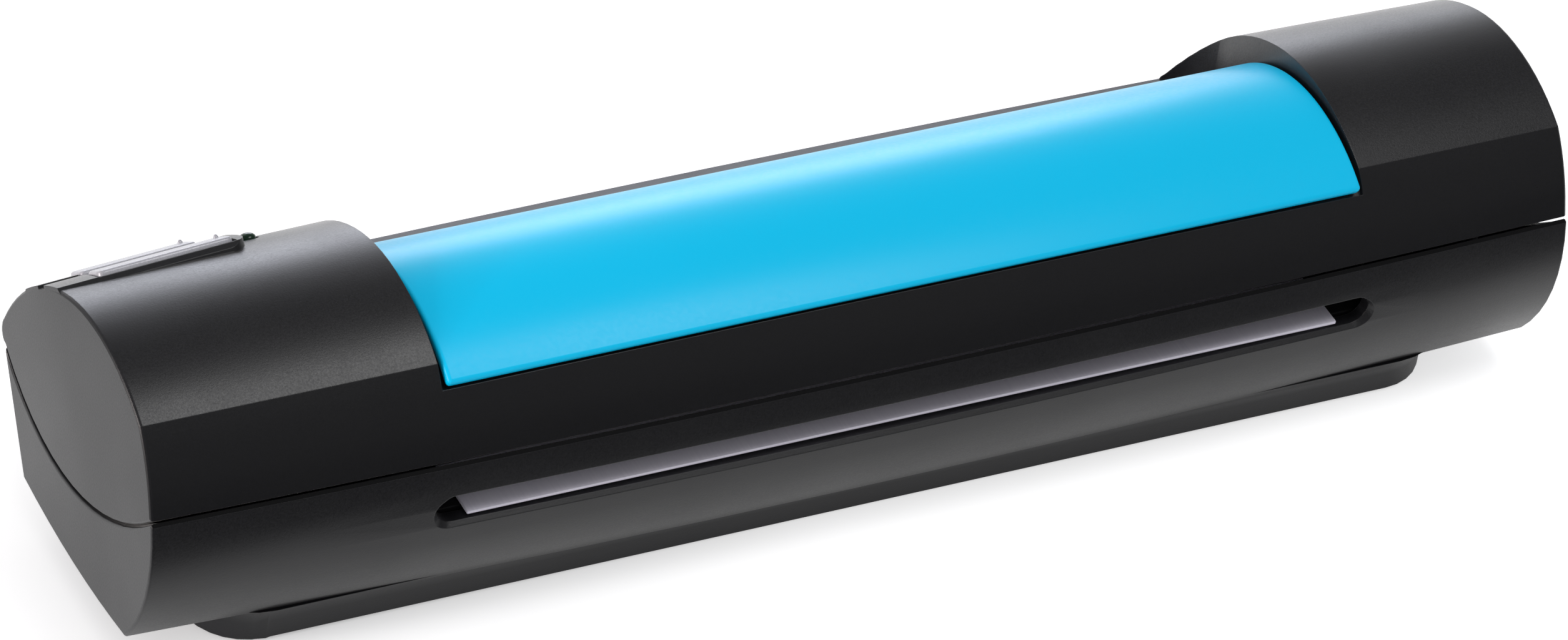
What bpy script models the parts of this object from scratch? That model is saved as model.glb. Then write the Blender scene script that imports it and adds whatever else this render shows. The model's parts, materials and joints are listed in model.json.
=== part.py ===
"""Sheet-fed business card scanner, modelled as its separate pieces.

Units are metres and +Z is up. +X runs along the machine, -Y is the rear, where the card comes
out, and +Y is the operator's side, where it goes in. The origin is on the surface the scanner
stands on, under the middle of its outline.
"""

import math

import bmesh
import bpy
from mathutils import Matrix, Vector
from mathutils.geometry import interpolate_bezier

# Casing: the section at the end faces, and how it grows toward the middle
BODY_LENGTH = 0.1600
BARREL_HUB_Z = 0.0191
BARREL_GROWTH_SHARE = 0.066
END_EDGE = 0.0003
WALL = 0.0018
END_WALL = 0.0020
PARTING_GAP = 0.0003
DRUM_CENTRE_Y = -0.0035
DRUM_CENTRE_Z = 0.0105
DRUM_RADIUS = 0.0243
CROWN_RADIUS = 0.0204
CROWN_FRONT_ANGLE = math.radians(20)
KINK_Y = -0.01315
DRUM_FRONT_ANGLE = math.radians(68)
NOSE_RADIUS = 0.0019
FACET_RADIUS = 0.021
FACET_FOOT_Y = -0.0177
FACET_FOOT_Z = 0.02275
BACK_CENTRE_Y = 0.0001
BACK_CENTRE_Z = 0.0173
BACK_RADIUS = 0.0189
BACK_TOP_Z = 0.0224
BACK_CORNER_Z = 0.0056
BELLY_RADIUS = 0.092
FRONT_CORNER_Y = 0.0109
FRONT_CORNER_Z = 0.0052
FRONT_PARTING_Y = 0.01795
FRONT_PARTING_Z = 0.01675
PARTING_REAR_HANDLE_Y = -0.0087
PARTING_REAR_HANDLE_Z = 0.0133
PARTING_FRONT_HANDLE_Y = 0.0053
PARTING_FRONT_HANDLE_Z = 0.0084

# Sunken middle between the two drums, and the cover that fills it
LEFT_DRUM_LENGTH = 0.0315
RIGHT_DRUM_LENGTH = 0.0243
RECESS_FLARE_Y = 0.0135
RECESS_FLARE_RADIUS = 0.0080
PANEL_CENTRE_Y = -0.0046
PANEL_CENTRE_Z = 0.01485
PANEL_RADIUS = 0.0193
PANEL_THICKNESS = 0.0013
PANEL_REAR_ANGLE = math.radians(-35.8)
PANEL_FRONT_ANGLE = math.radians(70.5)
PANEL_SIDE_GAP = 0.0005
PANEL_EDGE = 0.0005
SEAT_GAP = 0.0003
SEAT_WALL = 0.0016
VISOR_TOP_Z = 0.0203
VISOR_TIP_Z = 0.0189
VISOR_TIP_Y = 0.0200

# Card path: one level way from the inlet to the exit slot
PATH_OVERLAP = 0.0009
SLOT_FLOOR_Z = 0.0156
SLOT_HEIGHT = 0.0037
SLOT_RIM = 0.0005
SLOT_RIM_DEPTH = 0.0006
INLET_HEIGHT = 0.0027
INLET_INNER_Y = 0.0100
PLATE_END_GAP = 0.00355
PLATE_TOP_Z = 0.0163
PLATE_THICKNESS = 0.00035
PLATE_REAR_Y = -0.0189
PLATE_FRONT_Y = 0.0

# Pedestal under the lower casing
PEDESTAL_INSET = 0.00925
PEDESTAL_CENTRE_X = 0.0003
PEDESTAL_REAR_Y = -0.0141
PEDESTAL_FRONT_Y = 0.0098
PEDESTAL_CORNER = 0.0065
PEDESTAL_BASE_Z = 0.00035
PEDESTAL_SIDE_Z = 0.0006
PEDESTAL_FLARE_Z = 0.0027
PEDESTAL_TOP_Z = 0.0056
PEDESTAL_EDGE = 0.00025
PEDESTAL_FLARE = 0.0017
FLARE_HEIGHT_SHARES = (0.0, 0.4, 0.72, 1.0)
FLARE_REACH_SHARES = (0.0, 0.17, 0.5, 1.0)

# Feet and case screws
FOOT_RADIUS = 0.0040
FOOT_TOP_Z = 0.0009
FOOT_INSET = 0.02075
FOOT_REAR_Y = -0.0080
FOOT_FRONT_Y = 0.0042
SCREW_HEAD_RADIUS = 0.0021
SCREW_HEAD_HEIGHT = 0.0010
SCREW_RADIUS = 0.0009
SCREW_BASE_Z = 0.0007
SCREW_TOP_Z = 0.0130
SCREW_SEAT_Z = 0.0020
BOSS_RADIUS = 0.0030
BOSS_TOP_Z = 0.0074
POST_RADIUS = 0.0024
RIGHT_SCREW_INSET = 0.0155
LEFT_SCREW_INSET = 0.0160
REAR_SCREW_Y = -0.0098
FRONT_SCREW_Y = 0.0058
LEFT_SCREW_Y = -0.0112

# Key island: a flat let into the left drum, tilted toward the operator
ISLAND_CENTRE_Y = 0.01107
ISLAND_CENTRE_Z = 0.0295
ISLAND_TILT = math.radians(38.7)
ISLAND_PITCH = math.radians(3.3)
ISLAND_WIDTH = 0.0099
ISLAND_LENGTH = 0.0207
ISLAND_THICKNESS = 0.0032
ISLAND_CROWN = 0.0004
ISLAND_SHOULDER = 0.0005
ISLAND_CORNER = 0.0022
GROOVE_WIDTH = 0.0017
GROOVE_DEPTH = 0.0004
KEY_WIDTH = 0.0033
KEY_PITCH = 0.0050
KEY_INSET = 0.0047
SCAN_KEY_LENGTH = 0.0146
MODE_KEY_LENGTH = 0.0127
KEY_RISE = 0.0006
KEY_EDGE = 0.0003
KEY_DISH_DEPTH = 0.0002
KEY_DISH_WIDTH = 0.0012
KEY_TRAVEL = 0.0005
KEY_FLANGE = 0.0004
KEY_FLANGE_THICKNESS = 0.0008
KEY_STEM = 0.0016
KEY_STEM_BOTTOM = 0.0047
LIGHT_INSET = 0.0223
LIGHT_RADIUS = 0.00095
LIGHT_RISE = 0.00065
LIGHT_SINK = 0.00045
LIGHT_FLANGE_RADIUS = 0.00125
SWITCH_BOARD_DEPTH = 0.0076
SWITCH_BOARD_INSET = 0.0222
SWITCH_BOARD_LENGTH = 0.0198
SWITCH_BOARD_WIDTH = 0.0134
SWITCH_SIZE = 0.0035
SWITCH_HEIGHT = 0.0014
PLUNGER_RADIUS = 0.0008
PLUNGER_HEIGHT = 0.0004
LAMP_SIZE = 0.0012
LAMP_OFFSET = 0.0006
BOARD_THICKNESS = 0.0010
BOARD_POST_RADIUS = 0.0008
BOARD_POST_INSET = 0.0010

# Feed roller, its bushes and the pinch rollers over it
FEED_Y = 0.0065
FEED_RADIUS = 0.0040
FEED_RISE = 0.0002
FEED_SHAFT_RADIUS = 0.0015
SLEEVE_LENGTH = 0.0140
ROLLER_INSET = 0.0230
BUSH_RADIUS = 0.0026
PINCH_RADIUS = 0.0020
PINCH_LENGTH = 0.0100
PINCH_AXLE_RADIUS = 0.0009
PINCH_BAR_INSET = 0.0040
PINCH_BAR_WIDTH = 0.0038
PINCH_BAR_HEIGHT = 0.0010
PINCH_FORK_INSET = 0.0080
PINCH_FORK_THICKNESS = 0.0020
PINCH_SPRING_INSET = 0.0150
PINCH_SPRING_HEIGHT = 0.0020
PATH_TRAVEL = 0.0008

# Guide deck that carries the white plate and the feed roller
DECK_TOP_Z = 0.01565
DECK_THICKNESS = 0.0015
DECK_REAR_Y = -0.0170
DECK_FRONT_Y = 0.0145
CHEEK_THICKNESS = 0.0015
CHEEK_OUTSET = 0.0017
CHEEK_HALF_WIDTH = 0.0040
CHEEK_FOOT_Z = 0.0088
LEG_FRONT_Y = 0.0077
LEG_REAR_Y = 0.0046
POST_LEG_REAR_Y = -0.0119
POST_LEG_FRONT_Y = -0.0099
POST_LEG_INSET = 0.0010
POST_LEG_LENGTH = 0.0040
ROLLER_WINDOW_MARGIN = 0.0008

# Scan head: the contact image sensor over the white plate
HEAD_INSET = 0.0025
HEAD_WIDTH = 0.0140
HEAD_Y = -0.0058
HEAD_BOTTOM_Z = 0.0175
HEAD_HEIGHT = 0.0090
HEAD_WALL = 0.0015
HEAD_CHANNEL_DEPTH = 0.0073
HEAD_PAD_OUTSET = 0.0003
HEAD_PAD_LENGTH = 0.0020
HEAD_EAR_HEIGHT = 0.0030
GLASS_THICKNESS = 0.0009
LENS_WIDTH = 0.0016
LENS_HEIGHT = 0.0038
LENS_INSET = 0.0025
LIGHT_GUIDE_WIDTH = 0.0025
LIGHT_GUIDE_HEIGHT = 0.0020
LIGHT_GUIDE_OFFSET = 0.0035
SENSOR_BOARD_Z = 0.0234
HEAD_SPRING_INSET = 0.0105
HEAD_SPRING_HEIGHT = 0.0036
SPRING_RADIUS = 0.0016
SPRING_WIRE = 0.0004

# Drive at the left end: motor, pinion, compound idler and roller gear
GEAR_MODULE = 0.0006
PINION_TEETH = 9
IDLER_WHEEL_TEETH = 22
IDLER_PINION_TEETH = 10
ROLLER_GEAR_TEETH = 14
GEAR_SLACK = 0.00015
GEAR_TIP_SHARE = 1.6
GEAR_ROOT_SHARE = 2.4
TOOTH_PROFILE_SHARES = (0.27, 0.11)
MOTOR_Y = -0.0025
MOTOR_Z = 0.0132
MOTOR_RADIUS = 0.0060
MOTOR_LENGTH = 0.0113
MOTOR_SHAFT_RADIUS = 0.00075
MOTOR_SHAFT_SOCKET = 0.0030
MOTOR_EAR_LENGTH = 0.0180
MOTOR_EAR_WIDTH = 0.0050
MOTOR_EAR_THICKNESS = 0.0010
GEAR_PLATE_OFFSET = 0.0061
GEAR_PLATE_THICKNESS = 0.0010
GEAR_PLATE_REAR_Y = -0.0110
GEAR_PLATE_FRONT_Y = 0.0072
GEAR_PLATE_BASE_Z = 0.0066
GEAR_PLATE_TOP_Z = 0.0212
WHEEL_OFFSET = 0.0017
WHEEL_WIDTH = 0.0016
ROLLER_GEAR_OFFSET = 0.0038
ROLLER_GEAR_WIDTH = 0.0018
IDLER_PIN_RADIUS = 0.0010
IDLER_PIN_HEAD_RADIUS = 0.0016
IDLER_PIN_HEAD = 0.0004

# Main board, its chips and the data inlet at the right end
MAIN_BOARD_LEFT_INSET = 0.0400
MAIN_BOARD_RIGHT_INSET = 0.0024
MAIN_BOARD_REAR_Y = -0.0065
MAIN_BOARD_FRONT_Y = 0.0022
MAIN_BOARD_BOTTOM_Z = 0.0067
CHIP_SIZE = 0.0070
CHIP_HEIGHT = 0.0012
CHIP_INSET = 0.0600
STANDOFF_RADIUS = 0.0015
STANDOFF_PLACES_SHARES = (0.04, 0.45, 0.84)
INLET_SHELL_LENGTH = 0.0092
INLET_SHELL_WIDTH = 0.0077
INLET_SHELL_HEIGHT = 0.0039
INLET_SHELL_WALL = 0.0004
INLET_SHELL_INSET = 0.0005
INLET_TONGUE_WIDTH = 0.0050
INLET_TONGUE_LENGTH = 0.0060
INLET_TONGUE_THICKNESS = 0.0010
CABLE_WIDTH = 0.0070
CABLE_THICKNESS = 0.0003
CABLE_SOCKET_INSET = 0.0160
CABLE_SOCKET_LENGTH = 0.0040
CABLE_SOCKET_HEIGHT = 0.0012
CABLE_TOP_Z = 0.0225
CABLE_BEND_INSET = 0.0200

# Clearances, and what the cuts run past the metal by
GAP = 0.0003
MERGE = 0.00001
OVERRUN = 0.0020
FAR = 0.0300

# Counts
DRUM_STEPS = 24
ARC_STEPS = 8
BARREL_STEPS = 10
CORNER_STEPS = 7
FINE_TURN = 24
COARSE_TURN = 16

# Places along the machine, all tied to its length
HALF_LENGTH = BODY_LENGTH / 2
RECESS_LEFT_X = LEFT_DRUM_LENGTH - HALF_LENGTH
RECESS_RIGHT_X = HALF_LENGTH - RIGHT_DRUM_LENGTH
PATH_CENTRE_X = (RECESS_LEFT_X + RECESS_RIGHT_X) / 2
PATH_LENGTH = RECESS_RIGHT_X - RECESS_LEFT_X + 2 * PATH_OVERLAP
PLATE_LENGTH = PATH_LENGTH - 2 * PLATE_END_GAP
PEDESTAL_LENGTH = BODY_LENGTH - 2 * PEDESTAL_INSET
FOOT_SPACING_X = PEDESTAL_LENGTH - 2 * FOOT_INSET
RIGHT_SCREW_X = HALF_LENGTH - RIGHT_SCREW_INSET
LEFT_SCREW_X = LEFT_SCREW_INSET - HALF_LENGTH
ISLAND_INNER_X = ISLAND_LENGTH - HALF_LENGTH
KEY_OUTER_X = KEY_INSET - HALF_LENGTH
LIGHT_X = LIGHT_INSET - HALF_LENGTH
SWITCH_BOARD_RIGHT_X = SWITCH_BOARD_INSET - HALF_LENGTH
CHEEK_SPACING = PATH_LENGTH + 2 * CHEEK_OUTSET
POST_LEG_SPACING = PATH_LENGTH - 2 * POST_LEG_INSET
ROLLER_SPACING = PATH_LENGTH / 2 - ROLLER_INSET
PINCH_BAR_LENGTH = PATH_LENGTH - 2 * PINCH_BAR_INSET
PINCH_FORK_SPACING = PATH_LENGTH - 2 * PINCH_FORK_INSET
PINCH_SPRING_SPACING = PATH_LENGTH - 2 * PINCH_SPRING_INSET
HEAD_LENGTH = PATH_LENGTH - 2 * HEAD_INSET
HEAD_PAD_SPACING = PATH_LENGTH + 2 * HEAD_PAD_OUTSET
HEAD_SPRING_SPACING = HEAD_LENGTH - 2 * HEAD_SPRING_INSET
LENS_LENGTH = HEAD_LENGTH - 2 * LENS_INSET
GEAR_PLATE_X = PATH_CENTRE_X - CHEEK_SPACING / 2 - CHEEK_THICKNESS - GEAR_PLATE_OFFSET
WHEEL_X = GEAR_PLATE_X + WHEEL_OFFSET
ROLLER_GEAR_X = GEAR_PLATE_X + ROLLER_GEAR_OFFSET
MAIN_BOARD_LEFT_X = MAIN_BOARD_LEFT_INSET - HALF_LENGTH
MAIN_BOARD_RIGHT_X = HALF_LENGTH - MAIN_BOARD_RIGHT_INSET
CHIP_X = HALF_LENGTH - CHIP_INSET
INLET_SHELL_RIGHT_X = HALF_LENGTH - INLET_SHELL_INSET
CABLE_SOCKET_X = HALF_LENGTH - CABLE_SOCKET_INSET
CABLE_BEND_X = HALF_LENGTH - CABLE_BEND_INSET

# Heights and radii that follow from the sizes above
FEED_Z = PLATE_TOP_Z + FEED_RISE - FEED_RADIUS
PINCH_Z = FEED_Z + FEED_RADIUS + GAP + PINCH_RADIUS
PINCH_BAR_Z = PINCH_Z + PINCH_RADIUS + GAP
SEAT_RADIUS = PANEL_RADIUS - PANEL_THICKNESS - SEAT_GAP
MIDDLE_CAVITY_RADIUS = SEAT_RADIUS - SEAT_WALL
PEDESTAL_FLOOR_Z = PEDESTAL_BASE_Z + SEAT_WALL
MAIN_BOARD_TOP_Z = MAIN_BOARD_BOTTOM_Z + BOARD_THICKNESS
MAIN_BOARD_Y = (MAIN_BOARD_REAR_Y + MAIN_BOARD_FRONT_Y) / 2
HEAD_TOP_Z = HEAD_BOTTOM_Z + HEAD_HEIGHT

BLACK_PLASTIC = (0.022, 0.022, 0.025)
DARK_PLASTIC = (0.012, 0.012, 0.013)
SKY_BLUE = (0.002, 0.52, 0.86)
SILVER = (0.48, 0.48, 0.53)
WHITE = (0.84, 0.82, 0.88)
GREEN_LENS = (0.012, 0.045, 0.025)
STEEL = (0.56, 0.56, 0.58)
BRASS = (0.60, 0.42, 0.16)
ACETAL = (0.78, 0.78, 0.74)
RUBBER = (0.018, 0.018, 0.018)
BOARD_GREEN = (0.010, 0.090, 0.040)
GLASS_TINT = (0.55, 0.62, 0.62)
CABLE_WHITE = (0.70, 0.72, 0.78)


def clear_scene():
    """Remove what the scene holds."""
    for item in list(bpy.data.objects):
        bpy.data.objects.remove(item, do_unlink=True)


def make_collection(name):
    """Return a new collection linked to the scene."""
    group = bpy.data.collections.new(name)
    bpy.context.scene.collection.children.link(group)
    return group


clear_scene()
PARTS = make_collection("card_scanner")
CUTTERS = make_collection("card_scanner_cutters")


def add_object(name, mesh, group):
    """Put a mesh in a collection as a named object."""
    item = bpy.data.objects.new(name, mesh)
    group.objects.link(item)
    return item


def finish_mesh(name, work, group):
    """Turn a working bmesh into an object whose faces point out."""
    bmesh.ops.recalc_face_normals(work, faces=work.faces)
    mesh = bpy.data.meshes.new(name)
    work.to_mesh(mesh)
    work.free()
    return add_object(name, mesh, group)


def dress(item, colour, roughness, metallic=0.0):
    """Give an object its own material and smooth shading with sharp edges kept."""
    material = bpy.data.materials.new(item.name)
    material.use_nodes = True
    shader = material.node_tree.nodes["Principled BSDF"]
    shader.inputs["Base Color"].default_value = (*colour, 1.0)
    shader.inputs["Roughness"].default_value = roughness
    shader.inputs["Metallic"].default_value = metallic
    item.data.materials.append(material)
    item.data.shade_smooth()
    item.data.set_sharp_from_angle(angle=math.radians(32))
    return item


def rest_on(item, point):
    """Move an object's origin to a point of its joint's axis, leaving its shape where it is."""
    place = Matrix.Translation(point)
    item.data.transform(place.inverted() @ item.matrix_world)
    item.matrix_world = place
    return item


def as_cutter(item):
    """Mark an object as a cutter that is not a part."""
    item.hide_render = True
    item.display_type = "WIRE"
    return item


def combine(target, other, operation):
    """Add an exact Boolean to the target."""
    modifier = target.modifiers.new(other.name, "BOOLEAN")
    modifier.operation = operation
    modifier.solver = "EXACT"
    modifier.object = other
    as_cutter(other)


def cut(target, other):
    """Take the other solid away from the target."""
    combine(target, other, "DIFFERENCE")


def join(target, other):
    """Add the other solid to the target."""
    combine(target, other, "UNION")


def box(name, low, high, group=None):
    """Return a box between two opposite corners."""
    low = Vector(low)
    high = Vector(high)
    work = bmesh.new()
    place = Matrix.Translation((low + high) / 2) @ Matrix.Diagonal((*(high - low), 1))
    bmesh.ops.create_cube(work, size=1, matrix=place)
    return finish_mesh(name, work, group or PARTS)


def rod(name, centre_y, centre_z, radius, low_x, high_x, steps=COARSE_TURN, group=None):
    """Return a plain cylinder along X."""
    work = bmesh.new()
    place = Matrix.Translation(((low_x + high_x) / 2, centre_y, centre_z))
    place = place @ Matrix.Rotation(math.pi / 2, 4, "Y")
    bmesh.ops.create_cone(work, cap_ends=True, segments=steps, radius1=radius, radius2=radius,
                          depth=high_x - low_x, matrix=place)
    return finish_mesh(name, work, group or PARTS)


def post(name, x, y, radius, low_z, high_z, steps=COARSE_TURN, group=None):
    """Return a plain cylinder along Z."""
    work = bmesh.new()
    place = Matrix.Translation((x, y, (low_z + high_z) / 2))
    bmesh.ops.create_cone(work, cap_ends=True, segments=steps, radius1=radius, radius2=radius,
                          depth=high_z - low_z, matrix=place)
    return finish_mesh(name, work, group or PARTS)


def prism(name, outline, low, high, frame, group=None):
    """Extrude a flat outline along the third axis of a frame, from low to high."""
    work = bmesh.new()
    corners = [work.verts.new(frame @ Vector((a, b, low))) for a, b in outline]
    face = work.faces.new(corners)
    grown = bmesh.ops.extrude_face_region(work, geom=[face])
    moved = [part for part in grown["geom"] if isinstance(part, bmesh.types.BMVert)]
    bmesh.ops.translate(work, verts=moved, vec=frame.to_3x3() @ Vector((0, 0, high - low)))
    return finish_mesh(name, work, group or PARTS)


def turned(name, profile, place, steps=COARSE_TURN, closed=False):
    """Turn a (radius, height) profile about the Z axis of a place with a Screw modifier."""
    mesh = bpy.data.meshes.new(name)
    points = [(radius, 0, height) for radius, height in profile]
    edges = [(index, index + 1) for index in range(len(points) - 1)]
    if closed:
        edges.append((len(points) - 1, 0))
    mesh.from_pydata(points, edges, [])
    item = add_object(name, mesh, PARTS)
    item.matrix_world = place
    screw = item.modifiers.new("turn", "SCREW")
    screw.axis = "Z"
    screw.angle = 2 * math.pi
    screw.steps = steps
    screw.render_steps = steps
    screw.use_merge_vertices = True
    screw.merge_threshold = MERGE
    return item


def ring_profile(inner, outer, low, high):
    """Return a closed profile that runs down its outer side."""
    return [(outer, high), (outer, low), (inner, low), (inner, high)]


ALONG_X = Matrix(((0, 0, 1), (1, 0, 0), (0, 1, 0))).to_4x4()
ALONG_Y = Matrix(((1, 0, 0), (0, 0, 1), (0, 1, 0))).to_4x4()
UPRIGHT = Matrix.Identity(4)


def ring_along_x(name, centre_y, centre_z, inner, outer, low_x, high_x, steps=COARSE_TURN):
    """Return a ring or tube along X."""
    place = Matrix.Translation((0, centre_y, centre_z)) @ ALONG_X
    return turned(name, ring_profile(inner, outer, low_x, high_x), place, steps, closed=True)


def barrel(x):
    """Return the share by which the casing's section grows at this place along it."""
    return 1 + BARREL_GROWTH_SHARE * (1 - (x / HALF_LENGTH) ** 2)


def at_station(outline, x):
    """Place a section of the casing at one station along X."""
    grow = barrel(x)
    return [Vector((x, y * grow, BARREL_HUB_Z + (z - BARREL_HUB_Z) * grow)) for y, z in outline]


def arc(centre_y, centre_z, radius, start, end, steps):
    """Return points on an arc whose angles run from +Z toward +Y."""
    turns = [start + (end - start) * step / steps for step in range(steps + 1)]
    return [(centre_y + radius * math.sin(a), centre_z + radius * math.cos(a)) for a in turns]


def arc_between(start, end, radius, steps):
    """Return an arc from start to end that bulges to the left of that direction."""
    start = Vector(start)
    end = Vector(end)
    chord = end - start
    side = Vector((-chord.y, chord.x)).normalized()
    drop = math.sqrt(radius ** 2 - (chord.length / 2) ** 2)
    centre = (start + end) / 2 - side * drop
    first = math.atan2(start.x - centre.x, start.y - centre.y)
    last = math.atan2(end.x - centre.x, end.y - centre.y)
    sweep = (last - first + math.pi) % (2 * math.pi) - math.pi
    return arc(centre.x, centre.y, radius, first, first + sweep, steps)


def offset_outline(outline, distance):
    """Move an outline inward by a distance, keeping its point count."""
    points = [Vector(point) for point in outline]
    twice_area = sum(points[index - 1].cross(point) for index, point in enumerate(points))
    side = math.copysign(1, twice_area)
    moved = []
    for index, point in enumerate(points):
        before = (point - points[index - 1]).normalized()
        after = (points[(index + 1) % len(points)] - point).normalized()
        along = (before + after).normalized()
        inward = Vector((-along.y, along.x)) * side
        reach = distance / max(abs(before.dot(along)), abs(math.cos(1)))
        moved.append(tuple(point + inward * reach))
    return moved


def parting_curve(lift):
    """Return the line between the casings on the end face, from rear to front."""
    knots = ((FACET_FOOT_Y, FACET_FOOT_Z), (PARTING_REAR_HANDLE_Y, PARTING_REAR_HANDLE_Z),
             (PARTING_FRONT_HANDLE_Y, PARTING_FRONT_HANDLE_Z), (FRONT_PARTING_Y, FRONT_PARTING_Z))
    points = interpolate_bezier(*[Vector((y, z, 0)) for y, z in knots], 2 * ARC_STEPS)
    return [(point.x, point.y + lift) for point in points]


def upper_outer_outline():
    """Return the upper casing's outer line, from the rear parting over to the front one."""
    inset = DRUM_RADIUS - CROWN_RADIUS
    crown_y = DRUM_CENTRE_Y + inset * math.sin(CROWN_FRONT_ANGLE)
    crown_z = DRUM_CENTRE_Z + inset * math.cos(CROWN_FRONT_ANGLE)
    kink_angle = math.asin((KINK_Y - crown_y) / CROWN_RADIUS)
    crown = arc(crown_y, crown_z, CROWN_RADIUS, kink_angle, CROWN_FRONT_ANGLE, DRUM_STEPS // 2)
    drum = crown[:-1] + arc(DRUM_CENTRE_Y, DRUM_CENTRE_Z, DRUM_RADIUS, CROWN_FRONT_ANGLE,
                            DRUM_FRONT_ANGLE, DRUM_STEPS // 2)
    facet = arc_between((FACET_FOOT_Y, FACET_FOOT_Z), drum[0], FACET_RADIUS, ARC_STEPS)
    nose = arc_between(drum[-1], (FRONT_PARTING_Y, FRONT_PARTING_Z), NOSE_RADIUS, ARC_STEPS)
    return facet[:-1] + drum + nose[1:]


def lower_outer_outline():
    """Return the lower casing's outer line, from the front parting under to the rear one."""
    low = math.acos((BACK_CORNER_Z - BACK_CENTRE_Z) / BACK_RADIUS)
    high = math.acos((BACK_TOP_Z - BACK_CENTRE_Z) / BACK_RADIUS)
    back = arc(BACK_CENTRE_Y, BACK_CENTRE_Z, BACK_RADIUS, -low, -high, ARC_STEPS)
    belly = arc_between((FRONT_CORNER_Y, FRONT_CORNER_Z), back[0], BELLY_RADIUS, ARC_STEPS)
    return [(FRONT_PARTING_Y, FRONT_PARTING_Z)] + belly[:-1] + back


def loft(name, rings, group=None):
    """Skin a row of rings that have the same number of points, and close both ends."""
    work = bmesh.new()
    rows = [[work.verts.new(point) for point in ring] for ring in rings]
    for row, following in zip(rows, rows[1:]):
        for index in range(len(row)):
            other = (index + 1) % len(row)
            work.faces.new((row[index], row[other], following[other], following[index]))
    work.faces.new(rows[0])
    work.faces.new(rows[-1])
    return finish_mesh(name, work, group or PARTS)


def casing_loft(name, outline, group=None):
    """Skin a casing section along the barrel, with a small round at each end face."""
    places = [(-HALF_LENGTH, END_EDGE), (-HALF_LENGTH + END_EDGE / 3, END_EDGE / 3)]
    inner = HALF_LENGTH - END_EDGE
    for step in range(BARREL_STEPS + 1):
        places.append((-inner + 2 * inner * step / BARREL_STEPS, 0))
    places += [(-x, inset) for x, inset in reversed(places[:2])]
    rings = [at_station(offset_outline(outline, inset), x) for x, inset in places]
    return loft(name, rings, group)


def cavity_loft(name, low_x, high_x):
    """Return the hollow of the casing between two places along X."""
    outline = offset_outline(upper_outer_outline() + lower_outer_outline()[1:], WALL)
    steps = max(2, round(BARREL_STEPS * (high_x - low_x) / BODY_LENGTH))
    stations = [low_x + (high_x - low_x) * step / steps for step in range(steps + 1)]
    return loft(name, [at_station(outline, x) for x in stations], CUTTERS)


def rounded_rectangle(low_a, high_a, low_b, high_b, radius):
    """Return a rectangle with round corners."""
    corners = ((high_a - radius, high_b - radius, 0), (high_a - radius, low_b + radius, 1),
               (low_a + radius, low_b + radius, 2), (low_a + radius, high_b - radius, 3))
    outline = []
    for a, b, quarter in corners:
        start = quarter * math.pi / 2
        outline += arc(a, b, radius, start, start + math.pi / 2, CORNER_STEPS)
    return outline


def drum_height(x, y, inset):
    """Return the height of the drum's surface, less an inset, at a place."""
    outline = at_station(upper_outer_outline(), x)
    for before, after in zip(outline, outline[1:]):
        if before.y <= y < after.y:
            share = (y - before.y) / (after.y - before.y)
            return before.z + (after.z - before.z) * share - inset
    return BARREL_HUB_Z


def island_frame():
    """Return the key island's frame: X along the keys, Y down the slope, Z out of its face."""
    tilt = Matrix.Rotation(-ISLAND_TILT, 4, "X") @ Matrix.Rotation(-ISLAND_PITCH, 4, "Y")
    return (Matrix.Translation((-HALF_LENGTH, ISLAND_CENTRE_Y, ISLAND_CENTRE_Z)) @ tilt
            @ Matrix.Translation((HALF_LENGTH, 0, 0)))


ISLAND = island_frame()
SCREW_PLACES = ((RIGHT_SCREW_X, REAR_SCREW_Y), (RIGHT_SCREW_X, FRONT_SCREW_Y),
                (LEFT_SCREW_X, LEFT_SCREW_Y))
KEYS = {"scan_key": (-KEY_PITCH / 2, SCAN_KEY_LENGTH), "mode_key": (KEY_PITCH / 2, MODE_KEY_LENGTH)}


def island_box(name, low, high, group=None):
    """Return a box given in the key island's frame."""
    item = box(name, low, high, group)
    item.data.transform(ISLAND)
    return item


def island_outline():
    """Return the key island's section: a low crown with soft shoulders."""
    half = ISLAND_WIDTH / 2
    radius = (half ** 2 + ISLAND_CROWN ** 2) / (2 * ISLAND_CROWN)
    turn = math.asin((half - ISLAND_SHOULDER) / radius)
    crown = arc(0, ISLAND_CROWN - radius, radius, -turn, turn, ARC_STEPS + 1)
    foot = [(half, -ISLAND_SHOULDER), (half, -ISLAND_THICKNESS)]
    return [(-y, z) for y, z in reversed(foot)] + crown + foot


def recess_outline():
    """Return what is cut from the middle: outside the seat, above the visor."""
    seat_front = math.acos((VISOR_TOP_Z - PANEL_CENTRE_Z) / SEAT_RADIUS)
    seat = arc(PANEL_CENTRE_Y, PANEL_CENTRE_Z, SEAT_RADIUS, PANEL_REAR_ANGLE, seat_front, DRUM_STEPS)
    slope = (VISOR_TIP_Z - VISOR_TOP_Z) / (VISOR_TIP_Y - seat[-1][0])
    far_y = VISOR_TIP_Y + OVERRUN
    rear = (PANEL_CENTRE_Y + FAR * math.sin(PANEL_REAR_ANGLE),
            PANEL_CENTRE_Z + FAR * math.cos(PANEL_REAR_ANGLE))
    return seat + [(far_y, VISOR_TIP_Z + slope * OVERRUN), (far_y, rear[1]), rear]


def recess_plan():
    """Return the recess seen from above, with its walls flaring in beside the visor."""
    turn = math.pi / 2
    right = arc(RECESS_RIGHT_X - RECESS_FLARE_RADIUS, RECESS_FLARE_Y, RECESS_FLARE_RADIUS, turn, 0,
                ARC_STEPS + 1)
    left = arc(RECESS_LEFT_X + RECESS_FLARE_RADIUS, RECESS_FLARE_Y, RECESS_FLARE_RADIUS, 0, -turn,
               ARC_STEPS + 1)
    rear = ((RECESS_LEFT_X, -FAR), (RECESS_RIGHT_X, -FAR))
    return right + left + list(rear)


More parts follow.
